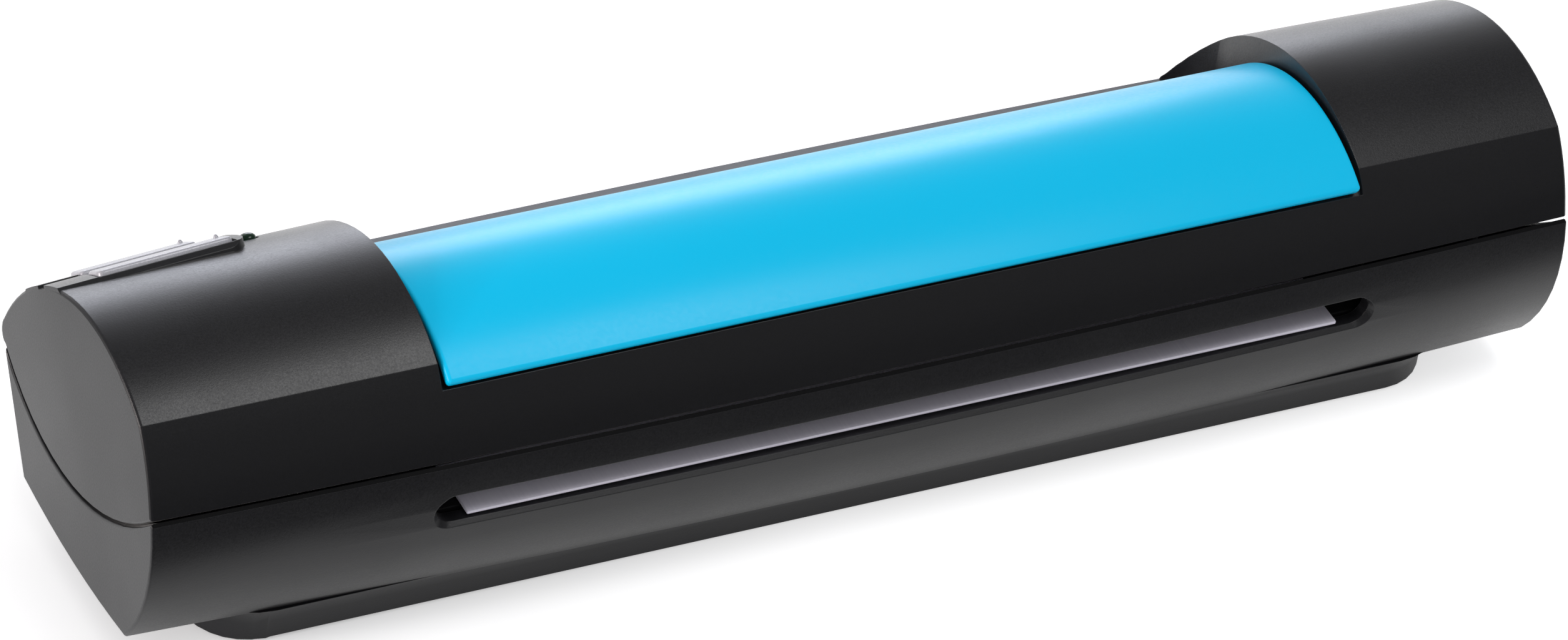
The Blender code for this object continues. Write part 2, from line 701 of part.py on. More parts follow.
def build_upper_casing():
    """Model the upper casing with its drums, sunken middle, visor, island and posts."""
    outline = upper_outer_outline()
    under = parting_curve(PARTING_GAP / 2)
    outline = [under[0]] + outline[1:-1] + [under[-1]] + list(reversed(under[1:-1]))
    casing = casing_loft("upper_casing", outline)
    side = WALL
    left = cavity_loft("left_pocket", -HALF_LENGTH + END_WALL, RECESS_LEFT_X - side)
    right = cavity_loft("right_pocket", RECESS_RIGHT_X + side, HALF_LENGTH - END_WALL)
    middle = rod("middle_cavity", PANEL_CENTRE_Y, PANEL_CENTRE_Z, MIDDLE_CAVITY_RADIUS,
                 RECESS_LEFT_X - side - GAP, RECESS_RIGHT_X + side + GAP, 2 * FINE_TURN, CUTTERS)
    combine(middle, cavity_loft("middle_limit", RECESS_LEFT_X - END_WALL - side,
                                RECESS_RIGHT_X + END_WALL + side), "INTERSECT")
    recess = prism("recess", recess_outline(), RECESS_LEFT_X - OVERRUN, RECESS_RIGHT_X + OVERRUN,
                   ALONG_X, CUTTERS)
    combine(recess, prism("recess_plan", recess_plan(), 0, 2 * FAR, UPRIGHT, CUTTERS), "INTERSECT")
    block = prism("island_block", island_outline(), -HALF_LENGTH, ISLAND_INNER_X + OVERRUN,
                  ISLAND @ ALONG_X, CUTTERS)
    plan = rounded_rectangle(-HALF_LENGTH - 2 * OVERRUN, ISLAND_INNER_X, -ISLAND_WIDTH / 2 - MERGE,
                             ISLAND_WIDTH / 2 + MERGE, ISLAND_CORNER)
    combine(block, prism("island_plan", plan, -ISLAND_THICKNESS - OVERRUN, OVERRUN, ISLAND, CUTTERS),
            "INTERSECT")
    cut(casing, left)
    cut(casing, right)
    cut(casing, middle)
    cut(casing, recess)
    cut(casing, box("upper_inlet", (RECESS_LEFT_X - side, INLET_INNER_Y, BACK_CORNER_Z),
                    (RECESS_RIGHT_X + side, FAR, SLOT_FLOOR_Z + INLET_HEIGHT), CUTTERS))
    join(casing, block)
    cut(casing, island_box("island_groove",
                           (-HALF_LENGTH - OVERRUN, -GROOVE_WIDTH / 2, ISLAND_CROWN - GROOVE_DEPTH),
                           (ISLAND_INNER_X - GROOVE_WIDTH, GROOVE_WIDTH / 2, OVERRUN), CUTTERS))
    for name, (slope_y, length) in KEYS.items():
        half = KEY_WIDTH / 2 + GAP
        well = rounded_rectangle(KEY_OUTER_X - GAP, KEY_OUTER_X + length + GAP,
                                 slope_y - half, slope_y + half, GAP)
        cut(casing, prism(name + "_well", well, -ISLAND_THICKNESS - OVERRUN, OVERRUN, ISLAND, CUTTERS))
    light = prism("light_hole", arc(LIGHT_X, 0, LIGHT_RADIUS + GAP, 0, 2 * math.pi, COARSE_TURN)[:-1],
                  -ISLAND_THICKNESS - OVERRUN, OVERRUN, ISLAND, CUTTERS)
    cut(casing, light)
    for index, (x, y) in enumerate(SCREW_PLACES):
        top = min(drum_height(x, y + side_y, WALL / 2) for side_y in (-POST_RADIUS, POST_RADIUS))
        join(casing, post("case_post_%d" % index, x, y, POST_RADIUS, BOSS_TOP_Z + GAP, top,
                          COARSE_TURN, CUTTERS))
        cut(casing, post("case_post_bore_%d" % index, x, y, SCREW_RADIUS + GAP,
                         BOSS_TOP_Z - GAP, SCREW_TOP_Z + GAP, COARSE_TURN, CUTTERS))
    for index, x in enumerate((switch_board_left() + 2 * BOARD_POST_RADIUS,
                               SWITCH_BOARD_RIGHT_X - 2 * BOARD_POST_RADIUS)):
        for side_sign in (-1, 1):
            y = side_sign * (SWITCH_BOARD_WIDTH / 2 - BOARD_POST_INSET)
            outline = arc(x, y, BOARD_POST_RADIUS, 0, 2 * math.pi, COARSE_TURN)[:-1]
            holder = prism("board_post_%d_%d" % (index, side_sign), outline,
                           GAP - SWITCH_BOARD_DEPTH, -ISLAND_THICKNESS / 2, ISLAND, CUTTERS)
            join(casing, holder)
    return dress(casing, BLACK_PLASTIC, 0.5)


def slot_ring(spread):
    """Return the exit slot's outline with its chamfer, where that is wider than the slot by a spread."""
    half = PATH_LENGTH / 2 + spread
    depth = SLOT_RIM_DEPTH * (1 - spread / SLOT_RIM)
    top_z = SLOT_FLOOR_Z + SLOT_HEIGHT - SLOT_RIM / 2
    outline = rounded_rectangle(PATH_CENTRE_X - half, PATH_CENTRE_X + half, SLOT_FLOOR_Z - spread, top_z,
                                (top_z - SLOT_FLOOR_Z + spread) / 2 - MERGE)
    ring = []
    for index, (x, z) in enumerate(outline):
        last_x = outline[index - 1][0]
        if abs(x - last_x) > half:
            ring += [(last_x + (x - last_x) * step / BARREL_STEPS, z) for step in range(1, BARREL_STEPS)]
        ring.append((x, z))
    return [Vector((x, (BACK_CENTRE_Y - BACK_RADIUS) * barrel(x) + depth, z)) for x, z in ring]


def inlet_cutter():
    """Return the inlet on the operator's side, which both casings bound."""
    return box("inlet", (PATH_CENTRE_X - PATH_LENGTH / 2, INLET_INNER_Y, SLOT_FLOOR_Z),
               (PATH_CENTRE_X + PATH_LENGTH / 2, FAR, SLOT_FLOOR_Z + INLET_HEIGHT), CUTTERS)


def pedestal_rings():
    """Return the pedestal's rings, from its base up to where it flares into the belly."""
    levels = [(PEDESTAL_BASE_Z, -PEDESTAL_EDGE), (PEDESTAL_SIDE_Z, 0)]
    rise = PEDESTAL_TOP_Z - PEDESTAL_FLARE_Z
    for height_share, reach_share in zip(FLARE_HEIGHT_SHARES, FLARE_REACH_SHARES):
        levels.append((PEDESTAL_FLARE_Z + rise * height_share, PEDESTAL_FLARE * reach_share))
    rings = []
    for z, reach in levels:
        half = PEDESTAL_LENGTH / 2 + reach
        outline = rounded_rectangle(PEDESTAL_CENTRE_X - half, PEDESTAL_CENTRE_X + half,
                                    PEDESTAL_REAR_Y - reach, PEDESTAL_FRONT_Y + reach,
                                    PEDESTAL_CORNER + reach)
        rings.append([Vector((x, y, z)) for x, y in outline])
    return rings


def build_lower_casing():
    """Model the lower casing with its pedestal, exit slot, data inlet and bosses."""
    outline = lower_outer_outline()
    over = parting_curve(-PARTING_GAP / 2)
    outline = [over[-1]] + outline[1:] + over[:-1]
    casing = casing_loft("lower_casing", outline)
    join(casing, loft("pedestal", pedestal_rings(), CUTTERS))
    cut(casing, cavity_loft("lower_cavity", -HALF_LENGTH + END_WALL, HALF_LENGTH - END_WALL))
    half = PEDESTAL_LENGTH / 2 - WALL
    hollow = rounded_rectangle(PEDESTAL_CENTRE_X - half, PEDESTAL_CENTRE_X + half,
                               PEDESTAL_REAR_Y + WALL, PEDESTAL_FRONT_Y - WALL,
                               PEDESTAL_CORNER - WALL)
    cut(casing, prism("pedestal_hollow", hollow, PEDESTAL_FLOOR_Z, BARREL_HUB_Z / 2, UPRIGHT, CUTTERS))
    slot = rounded_rectangle(PATH_CENTRE_X - PATH_LENGTH / 2, PATH_CENTRE_X + PATH_LENGTH / 2,
                             SLOT_FLOOR_Z, SLOT_FLOOR_Z + SLOT_HEIGHT, SLOT_HEIGHT / 2 - MERGE)
    cut(casing, prism("exit_slot", slot, -FAR, DECK_REAR_Y + OVERRUN, ALONG_Y, CUTTERS))
    cut(casing, loft("slot_rim", [slot_ring(SLOT_RIM * 3), slot_ring(-SLOT_RIM / 2)], CUTTERS))
    cut(casing, inlet_cutter())
    shell_y = (MAIN_BOARD_Y - INLET_SHELL_WIDTH / 2, MAIN_BOARD_Y + INLET_SHELL_WIDTH / 2)
    shell_z = MAIN_BOARD_TOP_Z + GAP
    cut(casing, box("data_window", (HALF_LENGTH - END_WALL - OVERRUN, shell_y[0] - GAP, shell_z - GAP),
                    (HALF_LENGTH + OVERRUN, shell_y[1] + GAP, shell_z + INLET_SHELL_HEIGHT + GAP),
                    CUTTERS))
    for index, (x, y) in enumerate(SCREW_PLACES):
        join(casing, post("screw_boss_%d" % index, x, y, BOSS_RADIUS, PEDESTAL_BASE_Z + PEDESTAL_EDGE,
                          BOSS_TOP_Z, COARSE_TURN, CUTTERS))
        cut(casing, post("screw_hole_%d" % index, x, y, SCREW_RADIUS + GAP, -OVERRUN,
                         BOSS_TOP_Z + OVERRUN, COARSE_TURN, CUTTERS))
        cut(casing, post("screw_recess_%d" % index, x, y, SCREW_HEAD_RADIUS + GAP, -OVERRUN,
                         SCREW_SEAT_Z, COARSE_TURN, CUTTERS))
    board_length = MAIN_BOARD_RIGHT_X - MAIN_BOARD_LEFT_X
    for index, share in enumerate(STANDOFF_PLACES_SHARES):
        x = MAIN_BOARD_LEFT_X + board_length * share
        join(casing, post("board_standoff_%d" % index, x, MAIN_BOARD_Y, STANDOFF_RADIUS,
                          PEDESTAL_FLOOR_Z - SEAT_WALL / 2, MAIN_BOARD_BOTTOM_Z - GAP, COARSE_TURN,
                          CUTTERS))
    for index, (x, y) in enumerate(foot_places()):
        cut(casing, post("foot_recess_%d" % index, x, y, FOOT_RADIUS + GAP, -OVERRUN,
                         FOOT_TOP_Z + GAP, FINE_TURN, CUTTERS))
    return dress(casing, BLACK_PLASTIC, 0.5)


def build_top_panel():
    """Model the blue cover that fills the middle."""
    inner = PANEL_RADIUS - PANEL_THICKNESS
    rear = PANEL_REAR_ANGLE + GAP / PANEL_RADIUS
    soft = PANEL_EDGE / PANEL_RADIUS
    outer_line = arc(PANEL_CENTRE_Y, PANEL_CENTRE_Z, PANEL_RADIUS, rear + soft,
                     PANEL_FRONT_ANGLE - soft, DRUM_STEPS)
    inner_line = arc(PANEL_CENTRE_Y, PANEL_CENTRE_Z, inner, PANEL_FRONT_ANGLE, rear, DRUM_STEPS)
    edge_rear = arc(PANEL_CENTRE_Y, PANEL_CENTRE_Z, PANEL_RADIUS - PANEL_EDGE, rear, rear, 1)[:1]
    edge_front = arc(PANEL_CENTRE_Y, PANEL_CENTRE_Z, PANEL_RADIUS - PANEL_EDGE,
                     PANEL_FRONT_ANGLE, PANEL_FRONT_ANGLE, 1)[:1]
    outline = edge_rear + outer_line + edge_front + inner_line
    panel = prism("top_panel", outline, RECESS_LEFT_X + PANEL_SIDE_GAP,
                  RECESS_RIGHT_X - PANEL_SIDE_GAP, ALONG_X)
    return dress(panel, SKY_BLUE, 0.35)


def key_outline():
    """Return a key's section across its length: round shoulders and a dished top."""
    half = KEY_WIDTH / 2
    dish = KEY_DISH_WIDTH / 2
    left = arc(-half + KEY_EDGE, KEY_RISE - KEY_EDGE, KEY_EDGE, -math.pi / 2, 0, 2)
    right = arc(half - KEY_EDGE, KEY_RISE - KEY_EDGE, KEY_EDGE, 0, math.pi / 2, 2)
    dip = [(-dish, KEY_RISE), (0, KEY_RISE - KEY_DISH_DEPTH), (dish, KEY_RISE)]
    foot = -ISLAND_THICKNESS - GAP - KEY_FLANGE_THICKNESS / 2
    return [(-half, foot)] + left + dip + right + [(half, foot)]


def build_key(name, slope_y, length):
    """Model one bar key with the flange that keeps it in and its stem."""
    outline = [(y + slope_y, z) for y, z in key_outline()]
    key = prism(name, outline, KEY_OUTER_X, KEY_OUTER_X + length, ISLAND @ ALONG_X)
    half = KEY_WIDTH / 2 + KEY_FLANGE
    top = -ISLAND_THICKNESS - GAP
    join(key, island_box(name + "_flange",
                         (KEY_OUTER_X - KEY_FLANGE, slope_y - half, top - KEY_FLANGE_THICKNESS),
                         (KEY_OUTER_X + length + KEY_FLANGE, slope_y + half, top), CUTTERS))
    middle = KEY_OUTER_X + length / 2
    join(key, island_box(name + "_stem", (middle - KEY_STEM / 2, slope_y - KEY_STEM / 2, -KEY_STEM_BOTTOM),
                         (middle + KEY_STEM / 2, slope_y + KEY_STEM / 2,
                          top - KEY_FLANGE_THICKNESS / 2), CUTTERS))
    return dress(rest_on(key, ISLAND @ Vector((middle, slope_y, 0))), SILVER, 0.35, 0.6)


def switch_board_left():
    """Return the left end of the switch board."""
    return SWITCH_BOARD_RIGHT_X - SWITCH_BOARD_LENGTH


def build_switches():
    """Model the tilted switch board with its two switches, lamp and light pipe."""
    half = SWITCH_BOARD_WIDTH / 2
    board = island_box("switch_board", (switch_board_left(), -half, -SWITCH_BOARD_DEPTH - BOARD_THICKNESS),
                       (SWITCH_BOARD_RIGHT_X, half, -SWITCH_BOARD_DEPTH))
    dress(board, BOARD_GREEN, 0.5)
    base = GAP - SWITCH_BOARD_DEPTH
    for name, (slope_y, length) in KEYS.items():
        x = KEY_OUTER_X + length / 2
        size = SWITCH_SIZE / 2
        switch = island_box(name.replace("key", "switch"), (x - size, slope_y - size, base),
                            (x + size, slope_y + size, base + SWITCH_HEIGHT))
        cap = prism(name + "_plunger", arc(x, slope_y, PLUNGER_RADIUS, 0, 2 * math.pi, COARSE_TURN)[:-1],
                    base + SWITCH_HEIGHT / 2, base + SWITCH_HEIGHT + PLUNGER_HEIGHT, ISLAND, CUTTERS)
        join(switch, cap)
        dress(switch, DARK_PLASTIC, 0.4)
    lamp_half = LAMP_SIZE / 2
    lamp_top = base + LAMP_SIZE
    lamp_x = LIGHT_X - LAMP_OFFSET
    lamp = island_box("status_lamp", (lamp_x - lamp_half, -lamp_half, base),
                      (lamp_x + lamp_half, lamp_half, lamp_top))
    dress(lamp, WHITE, 0.3)
    flange_top = -LIGHT_SINK - WALL - 2 * GAP
    dome = [(LIGHT_RADIUS * math.sin(a), LIGHT_RISE * math.cos(a) - LIGHT_SINK)
            for a in (math.pi / 2 * step / ARC_STEPS for step in range(ARC_STEPS + 1))]
    profile = dome + [(LIGHT_RADIUS, flange_top), (LIGHT_FLANGE_RADIUS, flange_top),
                      (LIGHT_FLANGE_RADIUS, flange_top - KEY_FLANGE_THICKNESS),
                      (LIGHT_RADIUS, flange_top - KEY_FLANGE_THICKNESS),
                      (LIGHT_RADIUS, lamp_top + GAP), (0, lamp_top + GAP)]
    lens = turned("status_light", profile, ISLAND @ Matrix.Translation((LIGHT_X, 0, 0)))
    dress(lens, GREEN_LENS, 0.15)


def build_guide():
    """Model the guide deck with its cheeks and legs, and the white plate on it."""
    half = CHEEK_SPACING / 2 + CHEEK_THICKNESS
    left_x = PATH_CENTRE_X - half
    right_x = PATH_CENTRE_X + half
    low_z = DECK_TOP_Z - DECK_THICKNESS
    deck = box("path_guide", (left_x, DECK_REAR_Y, low_z), (right_x, DECK_FRONT_Y, DECK_TOP_Z))
    window = FEED_RADIUS + ROLLER_WINDOW_MARGIN
    run = ROLLER_SPACING + SLEEVE_LENGTH / 2 + ROLLER_WINDOW_MARGIN
    cut(deck, box("roller_window", (PATH_CENTRE_X - run, FEED_Y - window, low_z - OVERRUN),
                  (PATH_CENTRE_X + run, FEED_Y + window, DECK_TOP_Z + OVERRUN), CUTTERS))
    leg_z = PEDESTAL_FLOOR_Z + GAP
    sides = ((-1, left_x, left_x + CHEEK_THICKNESS), (1, right_x - CHEEK_THICKNESS, right_x))
    for sign, low_x, high_x in sides:
        join(deck, box("cheek_%d" % sign, (low_x, FEED_Y - CHEEK_HALF_WIDTH, CHEEK_FOOT_Z),
                       (high_x, FEED_Y + CHEEK_HALF_WIDTH, low_z + DECK_THICKNESS / 2), CUTTERS))
        join(deck, box("leg_%d" % sign, (low_x, LEG_REAR_Y, leg_z),
                       (high_x, LEG_FRONT_Y, CHEEK_FOOT_Z + OVERRUN), CUTTERS))
        post_x = PATH_CENTRE_X + sign * POST_LEG_SPACING / 2
        join(deck, box("post_leg_%d" % sign, (post_x - POST_LEG_LENGTH / 2, POST_LEG_REAR_Y, leg_z),
                       (post_x + POST_LEG_LENGTH / 2, POST_LEG_FRONT_Y, low_z + DECK_THICKNESS / 2),
                       CUTTERS))
        cut(deck, rod("bush_hole_%d" % sign, FEED_Y, FEED_Z, BUSH_RADIUS + GAP, low_x - OVERRUN / 2,
                      high_x + OVERRUN / 2, FINE_TURN, CUTTERS))
        name = "bush_left" if sign < 0 else "bush_right"
        bush = ring_along_x(name, FEED_Y, FEED_Z, FEED_SHAFT_RADIUS + GAP, BUSH_RADIUS, low_x, high_x)
        dress(bush, BRASS, 0.35, 0.9)
    dress(deck, DARK_PLASTIC, 0.5)
    plate = box("white_plate", (PATH_CENTRE_X - PLATE_LENGTH / 2, PLATE_REAR_Y, PLATE_TOP_Z - PLATE_THICKNESS),
                (PATH_CENTRE_X + PLATE_LENGTH / 2, PLATE_FRONT_Y, PLATE_TOP_Z))
    dress(plate, WHITE, 0.4)


def roller_centres():
    """Return the places along X of the three rollers."""
    return [PATH_CENTRE_X + ROLLER_SPACING * step for step in (-1, 0, 1)]


def build_feed_roller():
    """Model the driven shaft with its rubber sleeves."""
    shaft_left = ROLLER_GEAR_X - GAP / 3
    shaft_right = PATH_CENTRE_X + CHEEK_SPACING / 2 + CHEEK_THICKNESS + 2 * GAP
    shaft = rod("feed_shaft", FEED_Y, FEED_Z, FEED_SHAFT_RADIUS, shaft_left, shaft_right)
    dress(rest_on(shaft, (PATH_CENTRE_X, FEED_Y, FEED_Z)), STEEL, 0.25, 1.0)
    for index, x in enumerate(roller_centres()):
        sleeve = ring_along_x("feed_sleeve_%d" % (index + 1), FEED_Y, FEED_Z, FEED_SHAFT_RADIUS + GAP,
                              FEED_RADIUS, x - SLEEVE_LENGTH / 2, x + SLEEVE_LENGTH / 2, FINE_TURN)
        dress(sleeve, RUBBER, 0.8)


def build_pinch_rollers():
    """Model the sprung carrier, its axle, rollers and springs."""
    half = PINCH_BAR_LENGTH / 2
    width = PINCH_BAR_WIDTH / 2
    bar = box("pinch_carrier", (PATH_CENTRE_X - half, FEED_Y - width, PINCH_BAR_Z),
              (PATH_CENTRE_X + half, FEED_Y + width, PINCH_BAR_Z + PINCH_BAR_HEIGHT))
    axle_half = PINCH_FORK_SPACING / 2 + PINCH_FORK_THICKNESS
    for sign in (-1, 1):
        x = PATH_CENTRE_X + sign * PINCH_FORK_SPACING / 2
        thick = PINCH_FORK_THICKNESS / 2
        join(bar, box("fork_%d" % sign, (x - thick, FEED_Y - width, PINCH_Z - PINCH_RADIUS),
                      (x + thick, FEED_Y + width, PINCH_BAR_Z + PINCH_BAR_HEIGHT / 2), CUTTERS))
        cut(bar, rod("fork_hole_%d" % sign, FEED_Y, PINCH_Z, PINCH_AXLE_RADIUS + GAP,
                     x - 2 * thick, x + 2 * thick, COARSE_TURN, CUTTERS))
        spring_x = PATH_CENTRE_X + sign * PINCH_SPRING_SPACING / 2
        low = PINCH_BAR_Z + PINCH_BAR_HEIGHT + GAP
        name = "pinch_spring_left" if sign < 0 else "pinch_spring_right"
        build_spring(name, spring_x, FEED_Y, low, low + PINCH_SPRING_HEIGHT)
    dress(rest_on(bar, (PATH_CENTRE_X, FEED_Y, PINCH_BAR_Z)), DARK_PLASTIC, 0.5)
    axle = rod("pinch_axle", FEED_Y, PINCH_Z, PINCH_AXLE_RADIUS, PATH_CENTRE_X - axle_half,
               PATH_CENTRE_X + axle_half)
    dress(rest_on(axle, (PATH_CENTRE_X, FEED_Y, PINCH_Z)), STEEL, 0.25, 1.0)
    for index, x in enumerate(roller_centres()):
        roller = ring_along_x("pinch_roller_%d" % (index + 1), FEED_Y, PINCH_Z, PINCH_AXLE_RADIUS + GAP,
                              PINCH_RADIUS, x - PINCH_LENGTH / 2, x + PINCH_LENGTH / 2)
        dress(roller, ACETAL, 0.4)


def build_spring(name, x, y, low_z, high_z):
    """Model a hidden compression spring as the tube that it fills."""
    place = Matrix.Translation((x, y, 0))
    profile = ring_profile(SPRING_RADIUS - SPRING_WIRE, SPRING_RADIUS, low_z, high_z)
    return dress(turned(name, profile, place, COARSE_TURN, closed=True), STEEL, 0.3, 1.0)


def build_scan_head():
    """Model the scan head: housing, glass, lens array, light guide, sensor board and springs."""
    half = HEAD_LENGTH / 2
    width = HEAD_WIDTH / 2
    housing = box("scan_housing", (PATH_CENTRE_X - half, HEAD_Y - width, HEAD_BOTTOM_Z),
                  (PATH_CENTRE_X + half, HEAD_Y + width, HEAD_TOP_Z))
    channel_x = half - HEAD_WALL
    channel_y = width - HEAD_WALL
    cut(housing, box("head_channel", (PATH_CENTRE_X - channel_x, HEAD_Y - channel_y, HEAD_BOTTOM_Z - OVERRUN),
                     (PATH_CENTRE_X + channel_x, HEAD_Y + channel_y, HEAD_BOTTOM_Z + HEAD_CHANNEL_DEPTH),
                     CUTTERS))
    for sign in (-1, 1):
        outer = PATH_CENTRE_X + sign * (HEAD_PAD_SPACING / 2 + HEAD_PAD_LENGTH / 2)
        inner = PATH_CENTRE_X + sign * (half - HEAD_WALL / 2)
        pad_inner = PATH_CENTRE_X + sign * (HEAD_PAD_SPACING / 2 - HEAD_PAD_LENGTH / 2)
        low_x, high_x = sorted((outer, inner))
        join(housing, box("head_ear_%d" % sign, (low_x, HEAD_Y - channel_y, HEAD_BOTTOM_Z + HEAD_WALL),
                          (high_x, HEAD_Y + channel_y, HEAD_BOTTOM_Z + HEAD_EAR_HEIGHT), CUTTERS))
        low_x, high_x = sorted((outer, pad_inner))
        join(housing, box("head_pad_%d" % sign, (low_x, HEAD_Y - channel_y, DECK_TOP_Z + GAP),
                          (high_x, HEAD_Y + channel_y, HEAD_BOTTOM_Z + HEAD_EAR_HEIGHT - GAP), CUTTERS))
        spring_x = PATH_CENTRE_X + sign * HEAD_SPRING_SPACING / 2
        name = "head_spring_left" if sign < 0 else "head_spring_right"
        build_spring(name, spring_x, HEAD_Y, HEAD_TOP_Z + GAP, HEAD_TOP_Z + GAP + HEAD_SPRING_HEIGHT)
    middle = (PATH_CENTRE_X, HEAD_Y, HEAD_BOTTOM_Z)
    dress(rest_on(housing, middle), DARK_PLASTIC, 0.45)
    glass_x = channel_x - GAP
    glass_y = channel_y - GAP
    glass_z = HEAD_BOTTOM_Z + GAP / 3
    glass = box("scan_glass", (PATH_CENTRE_X - glass_x, HEAD_Y - glass_y, glass_z),
                (PATH_CENTRE_X + glass_x, HEAD_Y + glass_y, glass_z + GLASS_THICKNESS))
    dress(rest_on(glass, middle), GLASS_TINT, 0.05)
    optics_z = glass_z + GLASS_THICKNESS + GAP
    lens_x = LENS_LENGTH / 2
    lens = box("lens_array", (PATH_CENTRE_X - lens_x, HEAD_Y - LENS_WIDTH / 2, optics_z),
               (PATH_CENTRE_X + lens_x, HEAD_Y + LENS_WIDTH / 2, optics_z + LENS_HEIGHT))
    dress(rest_on(lens, middle), GLASS_TINT, 0.2)
    bar_y = HEAD_Y - LIGHT_GUIDE_OFFSET
    guide = box("light_guide", (PATH_CENTRE_X - lens_x, bar_y - LIGHT_GUIDE_WIDTH / 2, optics_z),
                (PATH_CENTRE_X + lens_x, bar_y + LIGHT_GUIDE_WIDTH / 2, optics_z + LIGHT_GUIDE_HEIGHT))
    dress(rest_on(guide, middle), WHITE, 0.1)
    sensor = box("sensor_board", (PATH_CENTRE_X - glass_x, HEAD_Y - glass_y, SENSOR_BOARD_Z),
                 (PATH_CENTRE_X + glass_x, HEAD_Y + glass_y, SENSOR_BOARD_Z + BOARD_THICKNESS))
    dress(rest_on(sensor, middle), BOARD_GREEN, 0.5)


def pitch_radius(teeth):
    """Return a gear's pitch radius."""
    return GEAR_MODULE * teeth / 2


def gear_outline(teeth, tooth_angle):
    """Return a gear's outline with one tooth centred on an angle from +Z toward +Y."""
    tip = GEAR_MODULE * (teeth + GEAR_TIP_SHARE) / 2
    root = GEAR_MODULE * (teeth - GEAR_ROOT_SHARE) / 2
    foot_share, tip_share = TOOTH_PROFILE_SHARES
    flanks = ((root, -foot_share), (tip, -tip_share), (tip, tip_share), (root, foot_share))
    pitch = 2 * math.pi / teeth
    outline = []
    for tooth in range(teeth):
        middle = tooth_angle + tooth * pitch
        for radius, share in flanks:
            angle = middle + share * pitch
            outline.append((radius * math.sin(angle), radius * math.cos(angle)))
    return outline


def idler_axis():
    """Return the idler's axis, which meshes with the motor pinion and the roller gear."""
    motor = Vector((MOTOR_Y, MOTOR_Z))
    roller = Vector((FEED_Y, FEED_Z))
    to_motor = pitch_radius(PINION_TEETH) + pitch_radius(IDLER_WHEEL_TEETH) + GEAR_SLACK
    to_roller = pitch_radius(IDLER_PINION_TEETH) + pitch_radius(ROLLER_GEAR_TEETH) + GEAR_SLACK
    apart = roller - motor
    along = (to_motor ** 2 - to_roller ** 2 + apart.length ** 2) / (2 * apart.length)
    rise = math.sqrt(to_motor ** 2 - along ** 2)
    direction = apart.normalized()
    return motor + direction * along + Vector((-direction.y, direction.x)) * rise


def bearing(start, end):
    """Return the angle from +Z toward +Y of the way from start to end."""
    return math.atan2(end[0] - start[0], end[1] - start[1])


def gear_prism(name, axis, teeth, tooth_angle, low_x, high_x, group=None):
    """Return a gear's solid at an axis."""
    frame = Matrix.Translation((0, axis[0], axis[1])) @ ALONG_X
    return prism(name, gear_outline(teeth, tooth_angle), low_x, high_x, frame, group)


